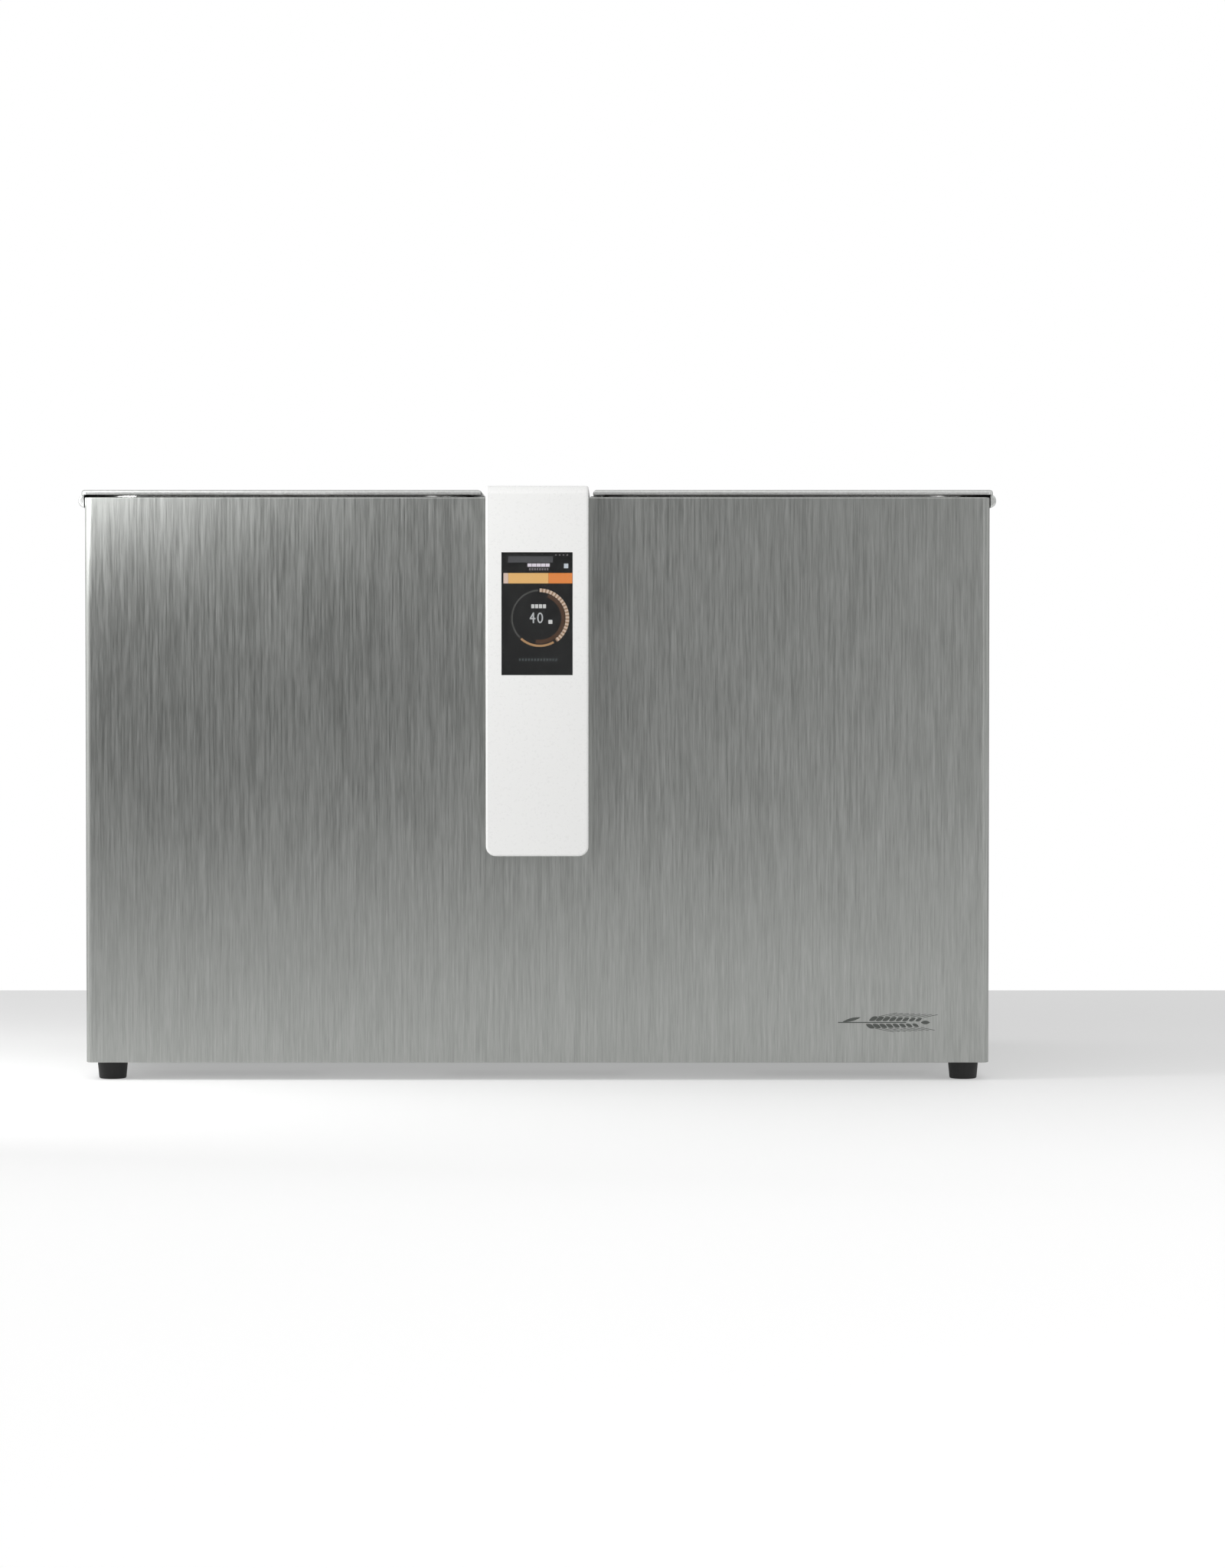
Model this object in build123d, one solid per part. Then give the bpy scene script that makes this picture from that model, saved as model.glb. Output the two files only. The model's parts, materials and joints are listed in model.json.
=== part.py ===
from build123d import *
import os
from math import radians, tan

# Electric all-in-one brewer: a mash kettle and a boil kettle side by side in one brushed-steel case.
#
# Frame: +Z up, the front towards -Y, and the origin on the worktop under the middle of the machine.
# Sizes are in millimetres. Pairs of limits are (low, high).

# ------------------------------------------------------------------ driving dimensions
CASE_W = 628.0  # width of the steel case
CASE_D = 340.0  # depth of the steel case
CASE_H = 393.0  # height of the case wall
FOOT_H = 12.5  # height of a rubber foot
FOOT_X = 297.5  # from the machine's middle to a foot's centre
SHEET = 1.2  # thickness of the case sheet
BEND = 5.0  # outside radius of the case's upright corners
FASCIA_PROUD = 9.0  # how far the white fascia stands ahead of the case
PORT_PROUD = 21.0  # how far the rear ports stand behind the case
SPINE_W = 71.2  # width of the white fascia and spine
LID_GAP = 1.6  # shadow gap between the case's top edge and a lid
LID_T = 3.4  # depth of a lid's folded edge
SLIP = 0.05  # gap left between faces that only rest on each other

# ------------------------------------------------------------------ planes and centres
FRONT = -(CASE_D + FASCIA_PROUD + PORT_PROUD) / 2 + FASCIA_PROUD
REAR = FRONT + CASE_D
MID_Y = (FRONT + REAR) / 2
PORT_END = REAR + PORT_PROUD
CASE_TOP = FOOT_H + CASE_H
LID_LOW = CASE_TOP + LID_GAP
LID_TOP = LID_LOW + LID_T
SPINE_TOP = LID_TOP + 2.5
FASCIA_LOW = SPINE_TOP - 256.5
FASCIA_CORNER = 7.0  # radius of the fascia's low corners
FASCIA_RETURN = FRONT + 26.0  # where the fascia's top return ends and the spine starts
SPINE_SKIN = 2.2
TRAY_T = 1.5
INSIDE_X = CASE_W / 2 - SHEET - 0.2  # half width of what drops inside the case
INSIDE_Y = (FRONT + SHEET + 0.2, REAR - 2.6)
PANEL_Y = (INSIDE_Y[1] + 0.1, INSIDE_Y[1] + 0.1 + SHEET)  # rear panel, against the case's rear flanges
REAR_FLANGE = 19.0

# kettles, described on the +X side and mirrored for the mash kettle
TANK_X = 178.0
TANK_W = 250.0
TANK_L = 308.0
TANK_CORNER = 30.0
TANK_WALL = 1.0
TANK_FLOOR = 106.7
FLOOR_BEND = 15.0
TANK_RIM = 7.0
RIM_TOP = CASE_TOP + SHEET
TANK_IN_X = (TANK_X - TANK_W / 2, TANK_X + TANK_W / 2)
TANK_IN_Y = (MID_Y - TANK_L / 2, MID_Y + TANK_L / 2)
OUTLET = (TANK_X, TANK_IN_Y[0] + 40.0)  # kettle drain, in plan
OUTLET_R = 7.0
PROBE = (TANK_X + 60.0, 150.0)  # x and z of the temperature probe, in the kettle's rear wall
SPOUT = (110.0, 372.0)  # y and z of the return nozzle, in the kettle's wall beside the spine

# lids
HINGE_X, HINGE_Z = 41.2, 408.1
KNUCKLE_R = 2.5
HINGE_PIN_R, HINGE_BORE_R = 1.25, 1.30
BRACKET_Y = (-150.0, -54.0, 42.0, 138.0)
BRACKET_HALF = 11.0
LID_X = (45.5, CASE_W / 2 + 2.1)
LID_Y = (FRONT + 0.5, REAR - 0.5)
GRIP_X, GRIP_Z = 314.7, 402.85  # flat face and middle height of a lid's grip rail
GRIP_REACH, GRIP_HALF = 3.9, 4.55
LID_EDGE_R = 2.0
TAB_REACH = 1.9  # how far a lid's front and rear tabs pass the hinge axis
PANEL_DEPTH = 1.0  # depth of the pressed panel in a lid's top

# hatch over the hop cages
HATCH_X = 24.7
HATCH_Y = (-137.7, 118.0)  # front edge and hinge axis
HATCH_Z = 409.6
HATCH_KNUCKLE = 3.4
CAGE_Y = (-102.0, -42.0, 18.0, 78.0)
CAGE = (38.0, 52.0, 125.0)
RACK_Z = 392.0

# malt basket, in its own place in the mash kettle (-X side)
BASKET_X = (-296.0, -60.0)
BASKET_Y = (-152.0, 140.0)
BASKET_Z = (132.0, 318.0)
BASKET_CORNER = 26.0
BAIL_WIRE = 2.5
BAIL_HALF = 42.0
BAIL_PIVOT_Z = 308.0
BAIL_DROP = 38.0
BAIL_INSET = 5.0  # from the basket's outer face to the wire's centre

# display
GLASS_X = (-24.5, 24.5)
GLASS_HALF_H = 42.35
GLASS_Z = 324.5

# hydraulics under the kettles
PUMP_Z = 58.0
PUMP_Y = (-98.0, 28.0)
PORT_Z = 40.0
VALVE_Y = (-107.0, -65.0, -23.0, 19.0)
VALVE_BORE = 8.0
FLOOR_Z = FOOT_H + TRAY_T + SLIP  # where a part stands on the tray
BARB_R, HOSE_R = 7.0, 9.5
SMALL_BARB_R, SMALL_HOSE_R = 5.0, 7.0
CHILLER_X, CHILLER_Y, CHILLER_Z = (100.0, 290.0), (70.0, 135.0), (24.0, 84.0)
REAR_PORT_Z = 54.0
WORT_PORT_X, DRAIN_PORT_X, WATER_PORT_X = 270.0, 130.0, 45.0
STUB_R = 6.35  # half-inch tube stub
THREAD_R = 13.2  # G 3/4 male thread, over its crests
POWER_X, POWER_Z = -230.0, 60.0
ROCKER_X, ROCKER_Y = POWER_X - 15.0, PANEL_Y[1] - 2.5
ROCKER_TILT = 8.0
FAN_Z, FAN_R = 195.0, 37.0
BRACKET_SPAN = (-95.0, 97.0)  # electronics bracket, front to rear
MAINS_ENTRY = (-25.0, 62.0)  # where the mains lead rises through the bracket's shelf

SCREW_R = 1.5
SCREW_HEAD_R = 3.2


# ------------------------------------------------------------------ helpers
def block(x, y, z):
    """A plain box between its limits on each axis."""
    size = [high - low for low, high in (x, y, z)]
    middle = [(high + low) / 2 for low, high in (x, y, z)]
    return Pos(*middle) * Box(*size)


def slab(x, y, z, corner):
    """A box whose upright corners are rounded."""
    outline = RectangleRounded(x[1] - x[0], y[1] - y[0], corner)
    return extrude(Pos((x[0] + x[1]) / 2, (y[0] + y[1]) / 2, z[0]) * outline, z[1] - z[0])


def grow(limits, amount):
    """Limits moved apart by amount on each side."""
    return (limits[0] - amount, limits[1] + amount)


def about(middle, half):
    """Limits that lie evenly about a middle."""
    return (middle - half, middle + half)


def facing_front(x, y, z):
    """A sketching plane that faces the front."""
    return Plane(origin=(x, y, z), x_dir=(1, 0, 0), z_dir=(0, -1, 0))


def rod(radius, start, end):
    """A round bar from one point to another."""
    run = Vector(*end) - Vector(*start)
    return extrude(Plane(origin=start, z_dir=run) * Circle(radius), run.length)


def hexagon(across, start, end):
    """A hexagonal bar, such as a nut without its bore."""
    run = Vector(*end) - Vector(*start)
    outline = RegularPolygon(across / 2, 6, major_radius=False)
    return extrude(Plane(origin=start, z_dir=run) * outline, run.length)


def mirrored(shape):
    """The same piece on the other side of the machine."""
    return mirror(shape, about=Plane.YZ)


def bend_radii(points, largest):
    """For each corner of a route, an arc as large as its two runs allow, up to a limit."""
    radii = []
    for before, corner, after in zip(points, points[1:], points[2:]):
        run_in = Vector(*corner) - Vector(*before)
        run_out = Vector(*after) - Vector(*corner)
        half_turn = radians(run_in.get_angle(run_out)) / 2
        radii.append(min(largest, 0.45 * min(run_in.length, run_out.length) / tan(half_turn)))
    return radii


def bent_bar(points, radius, largest_bend):
    """A round bar swept along straight runs joined by tangent arcs."""
    path = FilletPolyline(*points, radius=bend_radii(points, largest_bend))
    start = Plane(origin=path @ 0, z_dir=path % 0)
    return sweep(start * Circle(radius), path=path)


def hose(points, outer, inner, largest_bend=60.0):
    """A silicone hose along a route."""
    return bent_bar(points, outer, largest_bend) - bent_bar(points, inner, largest_bend)


def screw(head_at, direction, length=6.0):
    """A cross-recess pan-head screw. head_at is the centre of the face that the head sits on."""
    at, out = Vector(*head_at), Vector(*direction)
    top = at + out * 1.8
    place = Plane(origin=top, z_dir=out)
    head = rod(SCREW_HEAD_R, at, top)
    outer_rim = head.edges().group_by(lambda e: (e.center() - at).dot(out))[-1]
    head = fillet(outer_rim, 0.9)
    cross = extrude(place * (Rectangle(3.6, 0.8) + Rectangle(0.8, 3.6)), -1.0)
    return head - cross + rod(SCREW_R, at, at - out * length)


# ------------------------------------------------------------------ case and structure
def rear_screw_places():
    """Where screws hold the rear panel: up its two flanges and along the tray's rear flange."""
    upright = [(side * (CASE_W / 2 - 10.5), z) for side in (-1, 1) for z in (60, 145, 230, 315, 385)]
    lower = [(x, FOOT_H + 11.5) for x in (-200, -67, 67, 200)]
    return upright, lower


def side_screw_places():
    """Where screws hold the case to the tray, along each side."""
    return [(y, FOOT_H + 11.5) for y in (-130.0, -6.0, 118.0)]


def fascia_boss_places():
    """Centres of the fascia's screw bosses, on the case front."""
    return [(side * 29.5, z) for side in (-1, 1) for z in (169.0, 255.0, 384.0)]


def outer_wrap():
    """The brushed front and sides, folded from one sheet, with a flange down each rear edge."""
    outer = RectangleRounded(CASE_W, CASE_D, BEND)
    inner = RectangleRounded(CASE_W - 2 * SHEET, CASE_D - 2 * SHEET, BEND - SHEET)
    rear_gap = Pos(0, CASE_D / 2) * Rectangle(CASE_W - 2 * REAR_FLANGE, 4 * SHEET)
    wall = extrude(Pos(0, MID_Y, FOOT_H) * (outer - inner - rear_gap), CASE_H)
    window = block((-30, 30), (FRONT - 1, FRONT + 3), (GLASS_Z - 50, GLASS_Z + 50))
    reader = block((-16, 16), (FRONT - 1, FRONT + 3), (186, 226))
    wall = wall - window - reader
    for x, z in fascia_boss_places():
        wall -= rod(SCREW_R + 0.2, (x, FRONT - 1, z), (x, FRONT + 3, z))
    for x, z in rear_screw_places()[0]:
        wall -= rod(SCREW_R + 0.2, (x, REAR - 3, z), (x, REAR + 1, z))
    for side in (-1, 1):
        for y, z in side_screw_places():
            wall -= rod(SCREW_R + 0.2, (side * (CASE_W / 2 - 3), y, z), (side * (CASE_W / 2 + 1), y, z))
    wall = fillet(outside_edges(wall, CASE_TOP), 1.0)
    return fillet(outside_edges(wall, FOOT_H), 0.6)


def outside_edges(wall, z):
    """The outer edges of the case wall at one height: both sides, the front and the two bends between."""
    at_height = wall.edges().filter_by(lambda e: abs(e.center().Z - z) < 0.01)
    straight = at_height.filter_by(GeomType.LINE)
    bends = at_height.filter_by(GeomType.CIRCLE).filter_by(lambda e: abs(e.radius - BEND) < 0.01)
    sides = straight.filter_by(lambda e: abs(e.center().X) > CASE_W / 2 - 0.01)
    front = straight.filter_by(lambda e: e.center().Y < FRONT + 0.01)
    return sides + front + bends


def vent_slots(x_places, y, z_places, length):
    """Rows of upright round-ended vent slots through a panel that faces the rear."""
    cuts = []
    for x in x_places:
        for z in z_places:
            outline = facing_front(x, y[1] + 1, z) * SlotOverall(length, 3.2, 90)
            cuts.append(extrude(outline, y[1] - y[0] + 2))
    return cuts


def fan_grille_slots():
    """Level slots that fill the round fan opening in the rear panel."""
    cuts = []
    for row in range(-4, 5):
        z = FAN_Z + row * 7.8
        half = (FAN_R**2 - (row * 7.8) ** 2) ** 0.5 - 2.5
        outline = facing_front(0, PANEL_Y[1] + 1, z) * SlotOverall(2 * half, 4.4)
        cuts.append(extrude(outline, SHEET + 2))
    return cuts


def rear_panel():
    """The removable rear panel, with cut-outs for the fan, the power inlet and the ports."""
    panel = block(grow((-CASE_W / 2, CASE_W / 2), -5.2), PANEL_Y, (FOOT_H + 3.5, CASE_TOP - 1.0))
    panel = fillet(panel.edges().filter_by(Axis.Y), 2.0)
    cuts = fan_grille_slots()
    vent_x = [side * (70 + 9 * i) for side in (-1, 1) for i in range(12)]
    cuts += vent_slots(vent_x, PANEL_Y, (355, 325), 22)
    cuts.append(block(about(POWER_X, 26), grow(PANEL_Y, 1), about(POWER_Z, 17)))
    for x, radius in ((WATER_PORT_X, 13.6), (WORT_PORT_X, 8.4), (DRAIN_PORT_X, 8.4)):
        cuts.append(rod(radius, (x, PANEL_Y[0] - 1, REAR_PORT_Z), (x, PANEL_Y[1] + 1, REAR_PORT_Z)))
    upright, lower = rear_screw_places()
    for x, z in upright + lower:
        cuts.append(rod(SCREW_R + 0.2, (x, PANEL_Y[0] - 1, z), (x, PANEL_Y[1] + 1, z)))
    return panel - cuts


def foot_places():
    """Name and plan position of each foot."""
    rows = (("front", FRONT + 20.0), ("rear", REAR - 22.0))
    sides = (("left", -FOOT_X), ("right", FOOT_X))
    return [(f"foot_{row}_{side}", x, y) for row, y in rows for side, x in sides]


def base_tray():
    """The folded floor of the machine, with vent slots and an upturned flange all round."""
    x = (-INSIDE_X, INSIDE_X)
    corner = BEND - SHEET - 0.2
    tray = slab(x, INSIDE_Y, (FOOT_H, FOOT_H + 19.5), corner)
    tray -= slab(grow(x, -TRAY_T), grow(INSIDE_Y, -TRAY_T), (FOOT_H + TRAY_T, FOOT_H + 20), corner - TRAY_T)
    cuts = []
    for centre in (-215, 0, 215):
        for i in range(-4, 5):
            outline = Pos(centre + i * 14, -122, FOOT_H - 1) * SlotOverall(44, 5, 90)
            cuts.append(extrude(outline, TRAY_T + 2))
    for _, x_foot, y_foot in foot_places():
        cuts.append(rod(2.2, (x_foot, y_foot, FOOT_H - 1), (x_foot, y_foot, FOOT_H + 3)))
    for side in (-1, 1):
        for y, z in side_screw_places():
            cuts.append(rod(SCREW_R + 0.2, (side * (INSIDE_X - 3), y, z), (side * (INSIDE_X + 1), y, z)))
    for x_low, z in rear_screw_places()[1]:
        cuts.append(rod(SCREW_R + 0.2, (x_low, INSIDE_Y[1] - 3, z), (x_low, INSIDE_Y[1] + 1, z)))
    return tray - cuts


def foot(x, y):
    """A tapered rubber foot with a blind hole for its screw."""
    cone = Pos(x, y, FOOT_H / 2) * Cone(9.4, 10.6, FOOT_H)
    cone = fillet(cone.edges().group_by(Axis.Z)[0], 1.2)
    return cone - rod(2.2, (x, y, FOOT_H - 8), (x, y, FOOT_H + 1))


def casing_screws():
    """Every screw of the case: rear panel, side edges, feet and fascia."""
    upright, lower = rear_screw_places()
    screws = [screw((x, REAR, z), (0, 1, 0)) for x, z in upright]
    screws += [screw((x, PANEL_Y[1], z), (0, 1, 0)) for x, z in lower]
    screws += [screw((s * CASE_W / 2, y, z), (s, 0, 0)) for s in (-1, 1) for y, z in side_screw_places()]
    screws += [screw((x, y, FOOT_H + TRAY_T), (0, 0, 1), 8.5) for _, x, y in foot_places()]
    screws += [screw((x, FRONT + SHEET, z), (0, 1, 0), 5.0) for x, z in fascia_boss_places()]
    return Compound(children=screws)


def top_deck():
    """The frame that carries both kettles and the hop chamber, with a flange turned down all round."""
    x = (-INSIDE_X, INSIDE_X)
    corner = BEND - SHEET - 0.2
    deck = slab(x, INSIDE_Y, (CASE_TOP - 12, CASE_TOP), corner)
    deck -= slab(grow(x, -SHEET), grow(INSIDE_Y, -SHEET), (CASE_TOP - 13, CASE_TOP - SHEET), corner - SHEET)
    z = (CASE_TOP - 3, CASE_TOP + 1)
    tank_hole = slab(grow(TANK_IN_X, 1.5), grow(TANK_IN_Y, 1.5), z, TANK_CORNER + 1.5)
    chamber_hole = slab((-29.5, 29.5), (-134.5, 110.5), z, 8.5)
    return deck - tank_hole - mirrored(tank_hole) - chamber_hole


# ------------------------------------------------------------------ white fascia and spine
def fascia():
    """The white front column: a shallow shell that turns over the top edge of the case."""
    shell = low_corners_rounded(slab_profile(0.0, 6.0), FASCIA_CORNER)
    front_rim = shell.faces().sort_by(Axis.Y)[0].edges()
    top_rim = shell.edges().filter_by(Axis.Y).group_by(Axis.Z)[-1]
    arc_rim = shell.edges().filter_by(lambda e: e.geom_type == GeomType.CIRCLE and e.center().Z > CASE_TOP)
    shell = fillet(front_rim + top_rim + arc_rim, 1.6)
    shell -= low_corners_rounded(slab_profile(SPINE_SKIN, 4.0), FASCIA_CORNER - SPINE_SKIN)
    for x, z in fascia_boss_places():
        boss = rod(3.6, (x, FRONT - SLIP, z), (x, FRONT - FASCIA_PROUD + 1.5, z))
        shell += boss
        shell -= rod(SCREW_R + 0.05, (x, FRONT + 1, z), (x, FRONT - 5.5, z))
    window_y = (FRONT - FASCIA_PROUD - 1, FRONT - 5)
    return shell - block(grow(GLASS_X, 0.15), window_y, about(GLASS_Z, GLASS_HALF_H + 0.15))


def low_corners_rounded(body, radius):
    """A body with its two lowest front-to-back edges rounded."""
    return fillet(body.edges().filter_by(Axis.Y).group_by(Axis.Z)[0], radius)


def slab_profile(inset, bend):
    """The fascia's L-shaped body, inset from its outer faces, open towards the machine."""
    front, top, low = FRONT - FASCIA_PROUD + inset, SPINE_TOP - inset, FASCIA_LOW + inset
    open_by = 2.0 if inset else 0.0
    half = SPINE_W / 2 - inset
    back, ledge, end = FRONT - SLIP + open_by, CASE_TOP + SLIP - open_by, FASCIA_RETURN + open_by
    with BuildSketch(Plane.YZ) as side:
        with BuildLine():
            Polyline((front, top - bend), (front, low), (back, low), (back, ledge))
            Polyline((back, ledge), (end, ledge), (end, top), (front + bend, top))
            RadiusArc((front + bend, top), (front, top - bend), -bend)
        make_face()
    return extrude(side.sketch, half, both=True)


def spine_frame():
    """The white strip between the lids, with the hatch opening, its ledge and its hinge cheeks."""
    y = (FASCIA_RETURN + 0.15, REAR - 0.3)
    x = (-SPINE_W / 2, SPINE_W / 2)
    under = SPINE_TOP - SPINE_SKIN
    frame = block(x, y, (CASE_TOP + SLIP, SPINE_TOP))
    rear_top = frame.edges().filter_by(Axis.X).group_by(Axis.Z)[-1].sort_by(Axis.Y)[-1]
    frame = fillet(rear_top, 4.0)
    top_rims = frame.edges().filter_by(Axis.Y).group_by(Axis.Z)[-1]
    frame = fillet(top_rims, 1.6)
    frame -= block(grow(x, -SPINE_SKIN), (y[0] + 1.6, y[1] - SPINE_SKIN), (CASE_TOP - 1, under))
    frame += block((-29, 29), (HATCH_Y[0] - 4, HATCH_Y[1] + 8.0), (under - 2.1, under))
    frame -= block((-22, 22), (HATCH_Y[0] + 3, HATCH_Y[1] - 6), (CASE_TOP - 1, SPINE_TOP + 1))
    hatch_x = (-HATCH_X - 0.3, HATCH_X + 0.3)
    frame -= block(hatch_x, (HATCH_Y[0] - 0.3, HATCH_Y[1] + 4.0), (under, SPINE_TOP + 1))
    frame -= block(hatch_x, (HATCH_Y[1] - 7, HATCH_Y[1] + 4.0), (CASE_TOP - 1, SPINE_TOP + 1))
    for side in (-1, 1):
        cheek_x = sorted((side * (HATCH_X + 0.3), side * (HATCH_X + 5.3)))
        frame += block(cheek_x, about(HATCH_Y[1], 4), (CASE_TOP + 0.6, under))
    frame -= hatch_rod(HINGE_PIN_R + 0.02, HATCH_X + 5)
    return frame - finger_dish()


def finger_dish():
    """A shallow dish across the hatch's front edge, for a fingertip."""
    ball_r, depth = 40.0, 1.2
    return Pos(0, HATCH_Y[0] - 1.5, SPINE_TOP + ball_r - depth) * Sphere(ball_r)


def hatch_rod(radius, reach):
    """A round bar along the hatch hinge's axis, the same reach to both sides."""
    return rod(radius, (-reach, HATCH_Y[1], HATCH_Z), (reach, HATCH_Y[1], HATCH_Z))


def hop_hatch():
    """The white hatch over the hop cages, with its knuckle at the rear."""
    under = SPINE_TOP - SPINE_SKIN
    plate = block((-HATCH_X, HATCH_X), HATCH_Y, (under + SLIP, SPINE_TOP))
    plate = fillet(plate.edges().filter_by(Axis.Z).group_by(Axis.Y)[0], 0.8)
    lip = block((-20.5, 20.5), (HATCH_Y[0] + 4.5, HATCH_Y[1] - 9), (under - 1.2, under + 0.5))
    lip -= block((-19, 19), (HATCH_Y[0] + 6, HATCH_Y[1] - 10.5), (under - 1.8, under))
    hatch = plate + lip + hatch_rod(HATCH_KNUCKLE, HATCH_X) - finger_dish()
    return hatch - hatch_rod(HINGE_BORE_R, HATCH_X + 1)


def hatch_pin():
    """The steel pin of the hatch hinge."""
    return hatch_rod(HINGE_PIN_R, HATCH_X + 4.6)


# ------------------------------------------------------------------ display
def touch_glass():
    """The touch screen's cover glass, flush with the fascia."""
    front = FRONT - FASCIA_PROUD
    return block(GLASS_X, (front, front + SPINE_SKIN - SLIP), about(GLASS_Z, GLASS_HALF_H))


def lcd_module():
    """The display panel in its metal frame, behind the glass."""
    back_of_skin = FRONT - FASCIA_PROUD + SPINE_SKIN
    return block(grow(GLASS_X, 1), (back_of_skin + SLIP, back_of_skin + 4.5), about(GLASS_Z, 46))


def display_board():
    """The display's circuit board, and the card reader's board lower down the fascia."""
    board_y = (FRONT - 1.5, FRONT + 0.1)
    board = block((-26, 26), board_y, (GLASS_Z - 46, GLASS_Z + 46))
    board += block((-9, 9), (board_y[1], board_y[1] + 2.2), (GLASS_Z - 5, GLASS_Z + 13))
    board += block((-14, 14), (board_y[1], board_y[1] + 5.5), (GLASS_Z - 40, GLASS_Z - 33))
    for x in (-18, 18):
        for z in (-22, -8, 20, 32):
            board += block(about(x, 2.5), (board_y[1], board_y[1] + 1.6), about(GLASS_Z + z, 3))
    reader = block((-20, 20), (FRONT - 4.1, FRONT - 2.5), (176, 236))
    reader += block((-6, 6), (FRONT - 2.5, FRONT - 0.4), (198, 212))
    return Compound(children=[board, reader])


# ------------------------------------------------------------------ lids and hinges
def lid_cover():
    """A folded steel lid with a pressed panel, three hinge knuckles and a grip rail on its outer edge."""
    lid = slab(LID_X, LID_Y, (LID_LOW, LID_TOP), 3.0)
    hollow = slab(grow(LID_X, -SHEET), grow(LID_Y, -SHEET), (LID_LOW - 1, LID_TOP - SHEET), 1.8)
    for y in lid_tab_spans():
        lid += block((HINGE_X - TAB_REACH, LID_X[0] + 8), y, (LID_LOW, LID_TOP))
        inside = (HINGE_X - TAB_REACH + SHEET, LID_X[0] + 8)
        hollow += block(inside, grow(y, -SHEET), (LID_LOW - 1, LID_TOP - SHEET))
    lid = fillet(lid.edges().group_by(Axis.Z)[-1], LID_EDGE_R) - hollow
    panel_x, panel_y = grow(TANK_IN_X, -14.0), grow(TANK_IN_Y, -14.0)
    lid += slab(panel_x, panel_y, (LID_TOP - PANEL_DEPTH - SHEET, LID_TOP - SHEET + 0.2), 22.0)
    inner_x, inner_y = grow(panel_x, -SHEET), grow(panel_y, -SHEET)
    lid -= slab(inner_x, inner_y, (LID_TOP - PANEL_DEPTH, LID_TOP + 1), 22.0 - SHEET)
    top_edges = lid.edges().group_by(Axis.Z)[-1]
    lid = fillet(top_edges.filter_by(lambda e: on_panel_rim(e.center(), panel_x, panel_y)), 0.6)
    for first, second in zip(BRACKET_Y, BRACKET_Y[1:]):
        y = (first + BRACKET_HALF + 0.4, second - BRACKET_HALF - 0.4)
        lid += block((HINGE_X, LID_X[0] + 3), y, (LID_TOP - SHEET, LID_TOP))
        lid += hinge_rod(KNUCKLE_R, HINGE_X, y)
        lid -= hinge_rod(HINGE_BORE_R, HINGE_X, grow(y, 1))
    return lid + grip_rail()


def hinge_rod(radius, x, y):
    """A round bar along a lid hinge's axis, between two limits in y."""
    return rod(radius, (x, y[0], HINGE_Z), (x, y[1], HINGE_Z))


def lid_tab_spans():
    """Front to rear limits of the two tabs that close a lid's edge beyond its outermost brackets."""
    reach = BRACKET_HALF + 0.6
    return [(LID_Y[0], BRACKET_Y[0] - reach), (BRACKET_Y[-1] + reach, LID_Y[1])]


def grip_rail():
    """The rounded rail that hangs from a lid's outer edge, for the fingers that lift it."""
    y = grow(LID_Y, -4.0)
    outer_half = Pos(GRIP_REACH, 0) * Rectangle(2 * GRIP_REACH, 4 * GRIP_HALF)
    half_oval = Ellipse(GRIP_REACH, GRIP_HALF) & outer_half
    rail = extrude(facing_front(GRIP_X, y[1], GRIP_Z) * half_oval, y[1] - y[0])
    rail = fillet(rail.edges().filter_by(GeomType.ELLIPSE), 1.2)
    return rail + block((LID_X[1] - SHEET, LID_X[1]), y, (GRIP_Z, LID_LOW + 0.5))


def on_panel_rim(point, panel_x, panel_y):
    """Whether a point lies inside a pressed panel's outline, as its rim does."""
    return panel_x[0] < point.X < panel_x[1] and panel_y[0] < point.Y < panel_y[1]


def lid_liner():
    """The pressed tray under a lid that drops into the kettle's mouth."""
    x, y = grow(TANK_IN_X, -6.0), grow(TANK_IN_Y, -6.0)
    z = (LID_TOP - SHEET - SLIP - 13.2, LID_TOP - SHEET - SLIP)
    corner = TANK_CORNER - 6.0
    tray = fillet(slab(x, y, z, corner).edges().group_by(Axis.Z)[0], 3.0)
    flange = slab(grow(x, 3.0), grow(y, 3.0), (z[1] - SHEET, z[1]), corner + 3.0)
    hollow = slab(grow(x, -SHEET), grow(y, -SHEET), (z[0] + SHEET, z[1] + 1), corner - SHEET)
    hollow = fillet(hollow.edges().group_by(Axis.Z)[0], 1.8)
    return tray + flange - hollow


def lid_gasket():
    """The silicone ring that closes the lid on the kettle's rim."""
    z = (RIM_TOP + SLIP, LID_TOP - SHEET - SLIP)
    ring = slab(grow(TANK_IN_X, TANK_RIM - 1), grow(TANK_IN_Y, TANK_RIM - 1), z, TANK_CORNER + 6)
    return ring - slab(grow(TANK_IN_X, -2), grow(TANK_IN_Y, -2), grow(z, 1), TANK_CORNER - 2)


def hinge_brackets():
    """The knuckle brackets on the deck, four to each lid."""
    made = []
    for side in (-1, 1):
        axis_x = side * HINGE_X
        foot_x = sorted((side * 37.2, side * 44.4))
        for y in BRACKET_Y:
            span = about(y, BRACKET_HALF)
            bracket = block(foot_x, span, (CASE_TOP + SLIP, CASE_TOP + 0.9))
            bracket += hinge_rod(KNUCKLE_R, axis_x, span)
            bracket += block(about(axis_x, 1.2), span, (CASE_TOP + 0.5, HINGE_Z - 1))
            made.append(bracket - hinge_rod(HINGE_BORE_R, axis_x, grow(span, 1)))
    return Compound(children=made)


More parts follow.
